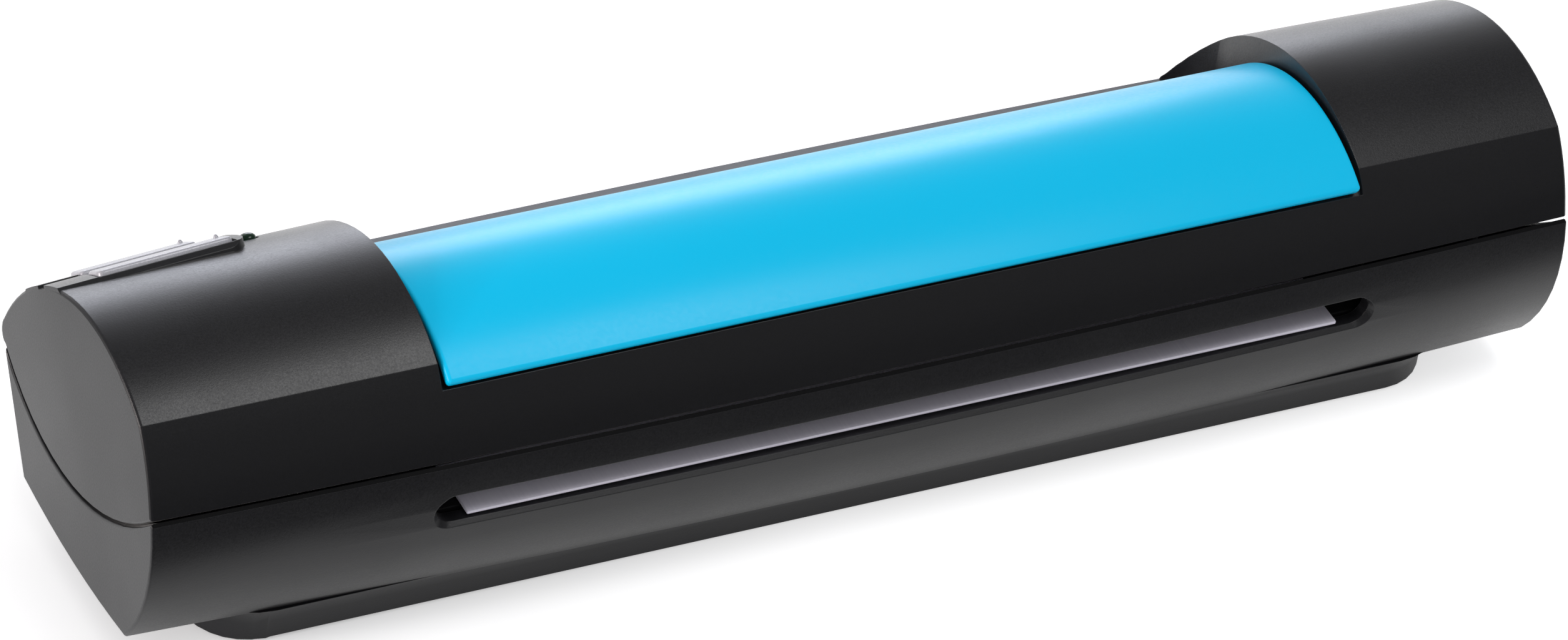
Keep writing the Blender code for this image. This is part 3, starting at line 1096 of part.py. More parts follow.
def build_drive():
    """Model the gear plate, the motor and the gear train."""
    motor = (MOTOR_Y, MOTOR_Z)
    roller = (FEED_Y, FEED_Z)
    idler = tuple(idler_axis())
    plate_right = GEAR_PLATE_X + GEAR_PLATE_THICKNESS
    plate = box("gear_plate", (GEAR_PLATE_X, GEAR_PLATE_REAR_Y, GEAR_PLATE_BASE_Z),
                (plate_right, GEAR_PLATE_FRONT_Y, GEAR_PLATE_TOP_Z))
    holes = (("shaft_hole", motor, MOTOR_SHAFT_RADIUS + GAP), ("pin_hole", idler, IDLER_PIN_RADIUS + GAP))
    for name, axis, radius in holes:
        cut(plate, rod(name, axis[0], axis[1], radius, GEAR_PLATE_X - OVERRUN, plate_right + OVERRUN,
                       COARSE_TURN, CUTTERS))
    dress(plate, STEEL, 0.4, 1.0)

    motor_right = GEAR_PLATE_X - GAP
    can = rod("motor", MOTOR_Y, MOTOR_Z, MOTOR_RADIUS, motor_right - MOTOR_LENGTH, motor_right, FINE_TURN)
    join(can, box("motor_ears", (motor_right - MOTOR_EAR_THICKNESS, MOTOR_Y - MOTOR_EAR_LENGTH / 2,
                                 MOTOR_Z - MOTOR_EAR_WIDTH / 2),
                  (motor_right, MOTOR_Y + MOTOR_EAR_LENGTH / 2, MOTOR_Z + MOTOR_EAR_WIDTH / 2), CUTTERS))
    cut(can, rod("motor_socket", MOTOR_Y, MOTOR_Z, MOTOR_SHAFT_RADIUS + GAP,
                 motor_right - MOTOR_SHAFT_SOCKET, motor_right + OVERRUN, COARSE_TURN, CUTTERS))
    dress(can, STEEL, 0.35, 1.0)

    wheel_right = WHEEL_X + WHEEL_WIDTH
    to_idler = bearing(motor, idler)
    pinion = gear_prism("motor_pinion", motor, PINION_TEETH, to_idler, WHEEL_X - GAP, wheel_right)
    join(pinion, rod("motor_shaft", MOTOR_Y, MOTOR_Z, MOTOR_SHAFT_RADIUS,
                     motor_right - MOTOR_SHAFT_SOCKET + GAP, WHEEL_X + GAP, COARSE_TURN, CUTTERS))
    dress(rest_on(pinion, (WHEEL_X, MOTOR_Y, MOTOR_Z)), BRASS, 0.35, 0.9)

    roller_right = ROLLER_GEAR_X + ROLLER_GEAR_WIDTH
    half_pitch = math.pi / IDLER_WHEEL_TEETH
    wheel = gear_prism("idler_gear", idler, IDLER_WHEEL_TEETH, bearing(idler, motor) + half_pitch,
                       WHEEL_X, wheel_right)
    small = gear_prism("idler_small", idler, IDLER_PINION_TEETH, bearing(idler, roller),
                       wheel_right - GAP, roller_right, CUTTERS)
    join(wheel, small)
    cut(wheel, rod("idler_bore", idler[0], idler[1], IDLER_PIN_RADIUS + GAP, WHEEL_X - OVERRUN,
                   roller_right + OVERRUN, COARSE_TURN, CUTTERS))
    dress(rest_on(wheel, (WHEEL_X, idler[0], idler[1])), ACETAL, 0.4)

    gear = gear_prism("roller_gear", roller, ROLLER_GEAR_TEETH,
                      bearing(roller, idler) + math.pi / ROLLER_GEAR_TEETH, ROLLER_GEAR_X, roller_right)
    cut(gear, rod("roller_gear_bore", FEED_Y, FEED_Z, FEED_SHAFT_RADIUS + GAP, ROLLER_GEAR_X - OVERRUN,
                  roller_right + OVERRUN, COARSE_TURN, CUTTERS))
    dress(rest_on(gear, (ROLLER_GEAR_X, FEED_Y, FEED_Z)), ACETAL, 0.4)

    head = roller_right + GAP
    profile = [(0, head + IDLER_PIN_HEAD), (IDLER_PIN_HEAD_RADIUS, head + IDLER_PIN_HEAD),
               (IDLER_PIN_HEAD_RADIUS, head), (IDLER_PIN_RADIUS, head), (IDLER_PIN_RADIUS, GEAR_PLATE_X),
               (0, GEAR_PLATE_X)]
    pin = turned("idler_pin", profile, Matrix.Translation((0, idler[0], idler[1])) @ ALONG_X)
    dress(pin, STEEL, 0.25, 1.0)


def build_electronics():
    """Model the main board, its chip, the flat cable with its socket, and the data inlet."""
    board = box("main_board", (MAIN_BOARD_LEFT_X, MAIN_BOARD_REAR_Y, MAIN_BOARD_BOTTOM_Z),
                (MAIN_BOARD_RIGHT_X, MAIN_BOARD_FRONT_Y, MAIN_BOARD_TOP_Z))
    dress(board, BOARD_GREEN, 0.5)
    base = MAIN_BOARD_TOP_Z + GAP
    chip = box("scanner_chip", (CHIP_X, MAIN_BOARD_Y - CHIP_SIZE / 2, base),
               (CHIP_X + CHIP_SIZE, MAIN_BOARD_Y + CHIP_SIZE / 2, base + CHIP_HEIGHT))
    dress(chip, DARK_PLASTIC, 0.4)
    socket_half = CABLE_WIDTH / 2
    socket_top = base + CABLE_SOCKET_HEIGHT
    socket = box("cable_socket", (CABLE_SOCKET_X - CABLE_SOCKET_LENGTH / 2, MAIN_BOARD_Y - socket_half, base),
                 (CABLE_SOCKET_X + CABLE_SOCKET_LENGTH / 2, MAIN_BOARD_Y + socket_half, socket_top))
    dress(socket, WHITE, 0.4)
    build_cable(socket_top + GAP)

    shell_left = INLET_SHELL_RIGHT_X - INLET_SHELL_LENGTH
    half = INLET_SHELL_WIDTH / 2
    shell = box("data_shell", (shell_left, MAIN_BOARD_Y - half, base),
                (INLET_SHELL_RIGHT_X, MAIN_BOARD_Y + half, base + INLET_SHELL_HEIGHT))
    wall = INLET_SHELL_WALL
    cut(shell, box("shell_mouth", (shell_left + wall, MAIN_BOARD_Y - half + wall, base + wall),
                   (INLET_SHELL_RIGHT_X + OVERRUN, MAIN_BOARD_Y + half - wall,
                    base + INLET_SHELL_HEIGHT - wall), CUTTERS))
    dress(shell, STEEL, 0.3, 1.0)
    tongue_left = shell_left + wall + GAP
    tongue_z = base + INLET_SHELL_HEIGHT / 2
    tongue = box("data_tongue", (tongue_left, MAIN_BOARD_Y - INLET_TONGUE_WIDTH / 2,
                                 tongue_z - INLET_TONGUE_THICKNESS / 2),
                 (tongue_left + INLET_TONGUE_LENGTH, MAIN_BOARD_Y + INLET_TONGUE_WIDTH / 2,
                  tongue_z + INLET_TONGUE_THICKNESS / 2))
    dress(tongue, DARK_PLASTIC, 0.4)


def build_cable(foot_z):
    """Model the flat cable from the end of the scan head down to its socket."""
    start_x = PATH_CENTRE_X + HEAD_LENGTH / 2 + GAP
    end_x = CABLE_SOCKET_X
    knots = [Vector((start_x, CABLE_TOP_Z, 0)), Vector((CABLE_BEND_X, CABLE_TOP_Z, 0)),
             Vector((end_x, CABLE_TOP_Z, 0)), Vector((end_x, foot_z, 0))]
    line = interpolate_bezier(*knots, 2 * ARC_STEPS)
    upper = []
    lower = []
    for index, point in enumerate(line):
        before = line[max(index - 1, 0)]
        after = line[min(index + 1, len(line) - 1)]
        side = Vector((before.y - after.y, after.x - before.x, 0)).normalized() * CABLE_THICKNESS / 2
        upper.append(((point + side).x, (point + side).y))
        lower.append(((point - side).x, (point - side).y))
    half = CABLE_WIDTH / 2 - GAP
    cable = prism("flat_cable", upper + lower[::-1], MAIN_BOARD_Y - half, MAIN_BOARD_Y + half, ALONG_Y)
    dress(cable, CABLE_WHITE, 0.4)


def foot_places():
    """Return where the four feet stand."""
    return [(sign * FOOT_SPACING_X / 2, y) for sign in (-1, 1) for y in (FOOT_REAR_Y, FOOT_FRONT_Y)]


def build_feet_and_screws():
    """Model the rubber feet and the case screws."""
    for index, (x, y) in enumerate(foot_places()):
        foot = post("foot_%d" % (index + 1), x, y, FOOT_RADIUS, 0, FOOT_TOP_Z, FINE_TURN)
        dress(foot, RUBBER, 0.85)
    shoulder = SCREW_BASE_Z + SCREW_HEAD_HEIGHT
    profile = [(0, SCREW_TOP_Z), (SCREW_RADIUS, SCREW_TOP_Z), (SCREW_RADIUS, shoulder),
               (SCREW_HEAD_RADIUS, shoulder), (SCREW_HEAD_RADIUS, SCREW_BASE_Z), (0, SCREW_BASE_Z)]
    for index, (x, y) in enumerate(SCREW_PLACES):
        screw = turned("case_screw_%d" % (index + 1), profile, Matrix.Translation((x, y, 0)))
        dress(screw, STEEL, 0.3, 1.0)


build_upper_casing()
build_lower_casing()
build_top_panel()
for key_name, (key_y, key_length) in KEYS.items():
    build_key(key_name, key_y, key_length)
build_switches()
build_guide()
build_feed_roller()
build_pinch_rollers()
build_scan_head()
build_drive()
build_electronics()
build_feet_and_screws()
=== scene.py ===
# %% [markdown]
# # A sheet-fed business card scanner
# The real thing is a small office machine: a black barrel-shaped casing in two shells, a blue cover
# in its sunken middle, two bar keys on a low ridge, and a level path that a card is drawn along.
# The solids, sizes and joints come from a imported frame. This lesson gives every surface its finish,
# and models again the pieces whose edges or forms need more than the solids hold.

import json
import math

import bmesh
import bpy
from mathutils import Matrix, Vector

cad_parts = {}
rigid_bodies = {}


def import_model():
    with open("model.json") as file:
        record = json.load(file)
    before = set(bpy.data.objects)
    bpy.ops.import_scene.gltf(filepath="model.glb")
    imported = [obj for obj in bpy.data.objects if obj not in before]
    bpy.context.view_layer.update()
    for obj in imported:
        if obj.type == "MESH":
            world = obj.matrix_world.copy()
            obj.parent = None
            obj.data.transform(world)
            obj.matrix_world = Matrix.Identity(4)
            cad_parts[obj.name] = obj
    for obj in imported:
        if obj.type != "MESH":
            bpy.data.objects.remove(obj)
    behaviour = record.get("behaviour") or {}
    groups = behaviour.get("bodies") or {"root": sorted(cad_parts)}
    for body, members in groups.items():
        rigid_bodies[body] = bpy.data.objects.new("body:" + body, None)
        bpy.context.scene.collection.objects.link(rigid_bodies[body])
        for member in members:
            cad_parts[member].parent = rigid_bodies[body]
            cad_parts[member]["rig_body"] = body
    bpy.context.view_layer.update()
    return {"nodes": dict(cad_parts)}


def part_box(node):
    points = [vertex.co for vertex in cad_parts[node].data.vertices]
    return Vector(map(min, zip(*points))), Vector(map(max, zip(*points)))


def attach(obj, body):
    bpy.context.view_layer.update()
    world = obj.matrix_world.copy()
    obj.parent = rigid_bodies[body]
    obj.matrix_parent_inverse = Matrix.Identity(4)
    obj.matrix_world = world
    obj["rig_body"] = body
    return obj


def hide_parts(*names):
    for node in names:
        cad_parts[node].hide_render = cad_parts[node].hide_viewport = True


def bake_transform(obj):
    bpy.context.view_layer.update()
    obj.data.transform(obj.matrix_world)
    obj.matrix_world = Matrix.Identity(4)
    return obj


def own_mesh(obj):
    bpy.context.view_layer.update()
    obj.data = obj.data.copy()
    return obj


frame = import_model()
nodes = frame["nodes"]

# %% [markdown]
# ## Small tools
# Everything is drawn in metres, but the sizes below are easier to read in millimetres, so MM turns
# one into the other. Colours are written as the sRGB hex values that a screen shows, and one
# function turns them to the linear values that Blender works in. Another adds a shader node with
# its settings and its links in one call.

# %% Units, colours and shader nodes
MM = 0.001


def linear(code):
    """Turn an sRGB hex colour into the linear colour a shader expects."""
    shares = [int(code[at:at + 2], 16) / 255 for at in (1, 3, 5)]
    return (*[c / 12.92 if c <= 0.04045 else ((c + 0.055) / 1.055) ** 2.4 for c in shares], 1.0)


def add_node(tree, kind, inputs=None, **settings):
    """Add a node, set its properties, and set or link its inputs."""
    made = tree.nodes.new(kind)
    for name, value in settings.items():
        setattr(made, name, value)
    for name, value in (inputs or {}).items():
        if isinstance(value, bpy.types.NodeSocket):
            tree.links.new(value, made.inputs[name])
        else:
            made.inputs[name].default_value = value
    return made


def new_finish(name, ior, roughness, metallic=0.0, shine=0.5):
    """Start a material from the typical values of the real one."""
    finish = bpy.data.materials.new(name)
    finish.use_nodes = True
    tree = finish.node_tree
    shader = tree.nodes["Principled BSDF"]
    shader.inputs["IOR"].default_value = ior
    shader.inputs["Roughness"].default_value = roughness
    shader.inputs["Metallic"].default_value = metallic
    shader.inputs["Specular IOR Level"].default_value = shine
    place = add_node(tree, "ShaderNodeTexCoord").outputs["Object"]
    print("finish:", name)
    return finish, tree, shader, place


# %% [markdown]
# Most finishes are told in the same steps: a pattern sized in real millimetres, two tints mixed by
# it, a roughness that follows it, and a relief that it presses into the skin. Each step gets a
# short name here, so that a finish below reads like a description of the real surface.

# %% Patterns, tints and relief
def noise(tree, place, size, detail=2.0, **more):
    """Add cloudy noise whose blotches are about one size across."""
    wanted = {"Vector": place, "Scale": 1 / size, "Detail": detail, **more}
    return add_node(tree, "ShaderNodeTexNoise", wanted).outputs["Fac"]


def stretched(tree, place, scale):
    """Scale a place by axis. A small scale draws the pattern out along that axis."""
    return add_node(tree, "ShaderNodeMapping", {"Vector": place, "Scale": scale}).outputs["Vector"]


def spread(tree, value, low, high, start=0.0, end=1.0):
    """Turn the run of a value from start to end into a run from low to high."""
    wanted = {"Value": value, "From Min": start, "From Max": end, "To Min": low, "To Max": high}
    return add_node(tree, "ShaderNodeMapRange", wanted).outputs["Result"]


def maths(tree, operation, *terms):
    """Add a Math node over its terms."""
    made = add_node(tree, "ShaderNodeMath", dict(enumerate(terms)), operation=operation)
    return made.outputs["Value"]


def dot_product(tree, first, second):
    """Add a node that tells how far two directions agree."""
    made = add_node(tree, "ShaderNodeVectorMath", {0: first, 1: second}, operation="DOT_PRODUCT")
    return made.outputs["Value"]


def tinted(tree, share, first, second):
    """Mix two tints by a share. A tint is a hex colour or a socket."""
    pair = [linear(tint) if isinstance(tint, str) else tint for tint in (first, second)]
    made = add_node(tree, "ShaderNodeMix", {0: share, 6: pair[0], 7: pair[1]}, data_type="RGBA")
    return made.outputs[2]


def soft_normal(tree, radius, samples=4):
    """Add a normal that rounds sharp edges in the shading."""
    return add_node(tree, "ShaderNodeBevel", {"Radius": radius}, samples=samples).outputs["Normal"]


def relief(tree, height, strength, depth, normal=None):
    """Press a pattern into the surface, over another normal where one is given."""
    wanted = {"Height": height, "Strength": strength, "Distance": depth}
    if normal is not None:
        wanted["Normal"] = normal
    return add_node(tree, "ShaderNodeBump", wanted).outputs["Normal"]


def plug(tree, shader, tint, rough=None, normal=None):
    """Link a tint, a roughness and a normal into the surface shader."""
    for name, socket in (("Base Color", tint), ("Roughness", rough), ("Normal", normal)):
        if socket is not None:
            tree.links.new(socket, shader.inputs[name])


# %% [markdown]
# Pieces are made in a bmesh and then handed over by one function. It merges nothing by itself: it
# makes the faces point out, shades the surface smooth but keeps real edges sharp, gives the piece its
# finish, hides the solid it stands for and tells the frame which body the piece moves with.
# The solids come as loose triangles, so a copy of one is first joined into one skin.

# %% Handing a piece over
WELD = 0.002 * MM


def hand_over(name, work, finish, body, stands_for=(), crease=35):
    """Turn a working bmesh into a finished piece that rides on a body."""
    bmesh.ops.recalc_face_normals(work, faces=work.faces)
    mesh = bpy.data.meshes.new(name)
    work.to_mesh(mesh)
    work.free()
    mesh.shade_smooth()
    mesh.set_sharp_from_angle(angle=math.radians(crease))
    mesh.materials.append(finish)
    piece = bpy.data.objects.new(name, mesh)
    bpy.context.scene.collection.objects.link(piece)
    if stands_for:
        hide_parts(*stands_for)
    if body:
        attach(piece, body)
    return piece


def merged_solid(node):
    """Return a bmesh of a solid whose loose triangles are joined into one skin."""
    work = bmesh.new()
    work.from_mesh(nodes[node].data)
    bmesh.ops.remove_doubles(work, verts=work.verts, dist=WELD)
    bmesh.ops.recalc_face_normals(work, faces=work.faces)
    return work


def body_of(node):
    """Return the name of the body that a solid rides on."""
    return nodes[node]["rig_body"]


# %% [markdown]
# Plain smooth shading would smear a flat face of such a skin toward its rounded neighbours. So the
# widest flat facet at each corner leads the shading there. It keeps flats flat and lets only the
# narrow steps of the round parts blend.

# %% Shading led by the widest facet
FLAT_ANGLE = math.radians(0.4)


def facet_areas(work):
    """Return, for each face, the area of the flat facet that it is a part of.

    A facet grows from its first face: the loop walks the list while it adds neighbours to it.
    """
    areas = [0.0] * len(work.faces)
    waiting = set(work.faces)
    for first in work.faces:
        facet = [first] if first in waiting else []
        waiting.discard(first)
        for face in facet:
            for other in (other for edge in face.edges for other in edge.link_faces):
                if other in waiting and other.normal.angle(first.normal, 0) < FLAT_ANGLE:
                    waiting.discard(other)
                    facet.append(other)
        whole = sum(face.calc_area() for face in facet)
        for face in facet:
            areas[face.index] = whole
    return areas


def shade_by_facet(piece, crease, hollow_crease=0):
    """Let the widest flat facet lead the shading at each corner.

    Faces blend up to the crease angle, and up to the hollow crease in inward corners, where a
    mould leaves a fillet.
    """
    def blends(edge):
        turn = edge.calc_face_angle_signed(math.pi)
        return abs(turn) < crease or -hollow_crease < turn < 0

    work = bmesh.new()
    work.from_mesh(piece.data)
    areas = facet_areas(work)
    normals = []
    for face in work.faces:
        for corner in face.loops:
            near = [face]
            for one in near:
                for edge in one.edges:
                    if corner.vert in edge.verts and blends(edge):
                        near += [other for other in edge.link_faces if other not in near]
            blend = sum((other.normal * areas[other.index] for other in near), Vector())
            normals.append(blend.normalized() if blend.length else face.normal)
    work.free()
    piece.data.normals_split_custom_set(normals)


# %% [markdown]
# ## Black ABS of the two shells
# The shells are black ABS, injection moulded in a spark-eroded tool. The spark leaves a skin of
# tiny craters about a fifth of a millimetre across, which trap most of the mirror-like part of the
# light. So the surface is deep and matte from the front and pales only at a low angle. Parts of the
# same tool are worked differently, so one maker gives three finishes and a painted shade, with the
# grain, its depth, the roughness and the shine as settings:
# - textured: the coarse spark grain of the drums, the end faces and the lower shell
# - blasted: the finer rear facet of the upper shell, under the kink line
# - polished: the top of the key ridge, which shines where it is seen at a low angle
# - land shade: the narrow land in the parting gap, which no light should catch, darkened as painted
#   shade of the joint
#
# The Bevel node rounds the moulded edges, which no real tool leaves knife sharp. Where its normal
# bends most, the skin is also slightly smoother, as hands rub it there, and paler: partly rub wear,
# partly a painted edge highlight.

# %% Black ABS in four finishes
EDGE_ROUND, CLOUD, CLOUD_ROUGH = 0.12 * MM, 14 * MM, 0.03
# The paler edge tint is partly rub wear and partly a painted edge highlight.
WEAR_AND_HIGHLIGHT_TINT, WEAR_AND_HIGHLIGHT_MOST, RUB_SMOOTH = "#343438", 0.2, -0.12


def black_abs(name, grain_size, depth, low, high, shine, dark, light):
    """Return black ABS whose craters have a size and a depth."""
    finish, tree, shader, place = new_finish(name, 1.54, (low + high) / 2, shine=shine)
    shader.inputs["Sheen Weight"].default_value = 0.12
    shader.inputs["Sheen Roughness"].default_value = 0.30
    grain = noise(tree, place, grain_size, detail=2.5, Roughness=0.62)
    soft_edge = soft_normal(tree, EDGE_ROUND, samples=5)
    true_face = add_node(tree, "ShaderNodeNewGeometry").outputs["Normal"]
    bend = dot_product(tree, soft_edge, true_face)
    # Paler, smoother edges where the bevel bends: partly rub wear, partly a painted edge highlight.
    wear_and_highlight = spread(tree, bend, 0.0, WEAR_AND_HIGHLIGHT_MOST, start=0.995, end=0.80)
    tint = tinted(tree, wear_and_highlight, tinted(tree, grain, dark, light), WEAR_AND_HIGHLIGHT_TINT)
    matte = spread(tree, grain, low, high, start=0.3, end=0.7)
    patch = spread(tree, noise(tree, place, CLOUD, detail=3.0), -CLOUD_ROUGH, CLOUD_ROUGH,
                   start=0.3, end=0.7)
    rough = maths(tree, "MULTIPLY_ADD", wear_and_highlight, RUB_SMOOTH, maths(tree, "ADD", matte, patch))
    plug(tree, shader, tint, rough, relief(tree, grain, 0.5, depth, soft_edge))
    return finish


textured_abs = black_abs("textured_black_abs", grain_size=0.20 * MM, depth=0.022 * MM, low=0.32,
                         high=0.42, shine=0.45, dark="#0C0C0E", light="#222226")
blasted_abs = black_abs("blasted_black_abs", grain_size=0.18 * MM, depth=0.012 * MM, low=0.30,
                        high=0.38, shine=0.45, dark="#101012", light="#1A1A1E")
polished_abs = black_abs("polished_black_abs", grain_size=0.30 * MM, depth=0.004 * MM, low=0.10,
                         high=0.15, shine=1.00, dark="#0E0E10", light="#161619")
# The land's darker tint and scant shine are painted shade of the parting gap.
land_shade_abs = black_abs("land_painted_shade_black_abs", grain_size=0.15 * MM, depth=0.01 * MM, low=0.58,
                     high=0.68, shine=0.08, dark="#060607", light="#0E0E10")

# %% [markdown]
# ## Satin blue ABS of the cover
# The cover is a separate moulding in bright sky blue, from a finely blasted tool. It is smoother
# than the shells: a satin skin with a barely visible orange peel, so the lamps give it one broad
# soft gleam and its far edge pales where it is seen at a low angle.

# %% Satin blue ABS
PEEL, BLUE_DRIFT = 0.45 * MM, 30 * MM

satin_blue, tree, shader, place = new_finish("satin_sky_blue_abs", 1.52, 0.31, shine=0.20)
peel = noise(tree, place, PEEL)
blue = tinted(tree, noise(tree, place, BLUE_DRIFT), "#00C6F5", "#04C8FA")
gleam = spread(tree, peel, 0.28, 0.35, start=0.3, end=0.7)
plug(tree, shader, blue, gleam, relief(tree, peel, 0.12, 0.03 * MM))

# %% [markdown]
# ## Silver lacquer of the keys
# The keys are ABS sprayed with silver-grey lacquer. The lacquer holds aluminium flakes, drawn here
# as cells of 0.12 mm that differ a little in brightness. A small metallic share gives the grey its
# depth without making it a mirror.

# %% Silver key lacquer
FLAKE = 0.12 * MM

key_lacquer, tree, shader, place = new_finish("silver_key_lacquer", 1.5, 0.33, metallic=0.15)
cells = add_node(tree, "ShaderNodeTexVoronoi", {"Vector": place, "Scale": 1 / FLAKE})
flakes = cells.outputs["Distance"]
silver = tinted(tree, flakes, "#BEBEC5", "#A2A2AA")
plug(tree, shader, silver, spread(tree, flakes, 0.28, 0.42), relief(tree, flakes, 0.08, 0.01 * MM))

# %% [markdown]
# ## Tinted polycarbonate of the status light
# The light's lens is dark green transparent polycarbonate. Unlit, almost no light comes back out of
# it, so it reads as a near-black green bead with a sharp highlight. A little light is let through,
# and a faint haze keeps it from looking like bottle glass.

# %% Green lens
HAZE = 0.5 * MM

green_lens, tree, shader, place = new_finish("tinted_green_polycarbonate", 1.58, 0.2, shine=0.3)
shader.inputs["Transmission Weight"].default_value = 0.15
haze = noise(tree, place, HAZE, detail=3.0)
plug(tree, shader, tinted(tree, haze, "#0B2014", "#1B3D2B"), spread(tree, haze, 0.14, 0.28))

# %% [markdown]
# ## White calibration film
# The pale strip in the slot is a white polyester film on the guide deck. The sensor sets its white
# level against it. It is smooth and slightly cool, with hair-fine scuffs along the way the cards
# travel, which is the Y axis, so the noise is stretched along Y.

# %% White film
SCUFF, ALONG_Y = 0.20 * MM, (1.0, 0.04, 1.0)

white_film, tree, shader, place = new_finish("white_polyester_film", 1.6, 0.42)
scuffs = noise(tree, stretched(tree, place, ALONG_Y), SCUFF, detail=3.0)
plug(tree, shader, tinted(tree, scuffs, "#D6D2E2", "#E6E3EE"), spread(tree, scuffs, 0.34, 0.5))

# %% [markdown]
# ## Black acetal of the inner mouldings
# The guide deck, sensor housing and pinch carrier are moulded in black acetal, which is slippery
# and a touch glossier than the shells. Its surface shows faint flow clouds a few millimetres wide
# and a fine tool grain.

# %% Black acetal
FLOW, TOOL_GRAIN, ACETAL_EDGE = 4 * MM, 0.25 * MM, 0.2 * MM

black_acetal, tree, shader, place = new_finish("black_moulded_acetal", 1.48, 0.42)
flow = noise(tree, place, FLOW, detail=4.0, Distortion=1.2)
tool_skin = relief(tree, noise(tree, place, TOOL_GRAIN), 0.15, 0.02 * MM,
                   soft_normal(tree, ACETAL_EDGE))
plug(tree, shader, tinted(tree, flow, "#141416", "#242427"), spread(tree, flow, 0.34, 0.52),
     tool_skin)

# %% [markdown]
# ## Natural acetal of the gears and small rollers
# Gears this size are moulded in unpigmented acetal, a milky off-white that lets a little light into
# its skin. A small subsurface share gives the teeth their soft, waxy edges.

# %% Natural acetal
MILK = 1.5 * MM

natural_acetal, tree, shader, place = new_finish("natural_acetal", 1.48, 0.36)
shader.inputs["Subsurface Weight"].default_value = 0.15
shader.inputs["Subsurface Radius"].default_value = (0.6 * MM, 0.5 * MM, 0.4 * MM)
shader.inputs["Subsurface Scale"].default_value = 0.3
milk = noise(tree, place, MILK, detail=3.0)
plug(tree, shader, tinted(tree, milk, "#DAD7CB", "#ECEAE2"), spread(tree, milk, 0.3, 0.44))

# %% [markdown]
# ## Ground and moulded rubber
# The feed sleeves are black EPDM rubber, ground to size on their shaft. Grinding leaves fine rings
# round the roller, so the noise is drawn out along Y and Z and stays fine along X. The feet are
# moulded in a softer rubber with a plain, dusty skin.

# %% Rubbers
GRIND, DUST, ROUND_X = 0.18 * MM, 0.6 * MM, (1.0, 0.12, 0.12)

ground_rubber, tree, shader, place = new_finish("ground_epdm_rubber", 1.52, 0.8, shine=0.3)
grind = noise(tree, stretched(tree, place, ROUND_X), GRIND, detail=3.0)
plug(tree, shader, tinted(tree, grind, "#1A1A1B", "#333335"),
     normal=relief(tree, grind, 0.35, 0.04 * MM))

foot_rubber, tree, shader, place = new_finish("moulded_foot_rubber", 1.5, 0.75, shine=0.3)
dust = noise(tree, place, DUST, detail=4.0)
plug(tree, shader, tinted(tree, dust, "#202021", "#3C3B3A"),
     normal=relief(tree, dust, 0.2, 0.03 * MM))

# %% [markdown]
# ## Metals
# Bright steel makes the shafts and screws, rolled zinc steel the gear plate, motor can and data
# inlet, drawn wire the springs, and brass the bushes and the motor's pinion. Each is fully metallic
# at the default IOR. What tells them apart is colour and the lines their making left: a turned part
# has rings, a stamped plate has the long streaks of the rolling mill.

# %% Turned steel, rolled steel, wire and brass
TURNED, ROLLED, DRAWN = (1.0, 0.1, 0.1), (0.1, 0.1, 1.0), (1.0, 1.0, 1.0)
METAL_EDGE = 0.1 * MM


def metal_finish(name, dark, light, stretch, spacing, low, high):
    """Return a metal whose roughness and colour follow the lines of its making."""
    finish, tree, shader, place = new_finish(name, 1.5, (low + high) / 2, metallic=1.0)
    lines = noise(tree, stretched(tree, place, stretch), spacing, detail=3.0)
    rough = spread(tree, lines, low, high, start=0.3, end=0.7)
    cut = relief(tree, lines, 0.1, 0.01 * MM, soft_normal(tree, METAL_EDGE))
    plug(tree, shader, tinted(tree, lines, dark, light), rough, cut)
    return finish


turned_steel = metal_finish("turned_bright_steel", "#A9A9AD", "#D2D2D6", TURNED,
                            spacing=0.12 * MM, low=0.16, high=0.32)
rolled_steel = metal_finish("rolled_zinc_steel", "#9C9DA2", "#C4C5CA", ROLLED,
                            spacing=0.2 * MM, low=0.28, high=0.45)
drawn_wire = metal_finish("drawn_spring_wire", "#8F8F93", "#C6C6CA", DRAWN,
                          spacing=0.3 * MM, low=0.22, high=0.36)
turned_brass = metal_finish("turned_brass", "#B08D45", "#D9B866", TURNED,
                            spacing=0.12 * MM, low=0.2, high=0.36)

# %% [markdown]
# ## Circuit boards
# The boards are glass-epoxy under green solder mask. Copper tracks lift the mask a little and show
# as paler lines. The gap between the nearest and the second nearest point of a Voronoi pattern,
# with square distances, gives such a net of straight tracks without copying any real circuit.
# Small dots at the points stand for the plated holes.

# %% Solder mask
TRACK = 1.6 * MM

solder_mask, tree, shader, place = new_finish("green_solder_mask", 1.55, 0.3)
points = {"Vector": place, "Scale": 1 / TRACK, "Randomness": 0.55}
nearest, second = [add_node(tree, "ShaderNodeTexVoronoi", points, feature=feature,
                            distance="CHEBYCHEV").outputs["Distance"] for feature in ("F1", "F2")]
track = spread(tree, maths(tree, "SUBTRACT", second, nearest), 1.0, 0.0, start=0.05, end=0.10)
plated = spread(tree, nearest, 1.0, 0.0, start=0.06, end=0.09)
mask_tint = tinted(tree, track, "#0B3F22", "#17633A")
plug(tree, shader, tinted(tree, plated, mask_tint, "#B9B4A2"),
     normal=relief(tree, track, 0.3, 0.03 * MM))

# %% [markdown]
# ## Glass, cable film and nylon
# The cover glass of the sensor is thin float glass with a faint green body and a little dust, and
# the rod lens array takes the same finish. The flat cable is white polyester film with tinned
# conductors every half millimetre across it. The light guide, the cable's socket and the status
# lamp are milky white nylon.

# %% Glass, cable film and white nylon
SPECK, CONDUCTOR, NYLON_CLOUD = 0.8 * MM, 0.5 * MM, 0.7 * MM

float_glass, tree, shader, place = new_finish("thin_float_glass", 1.52, 0.03)
shader.inputs["Transmission Weight"].default_value = 0.9
specks = noise(tree, place, SPECK, detail=5.0)
plug(tree, shader, tinted(tree, specks, "#D8E6DF", "#EAF2EE"),
     spread(tree, specks, 0.02, 0.2, start=0.55, end=0.75))

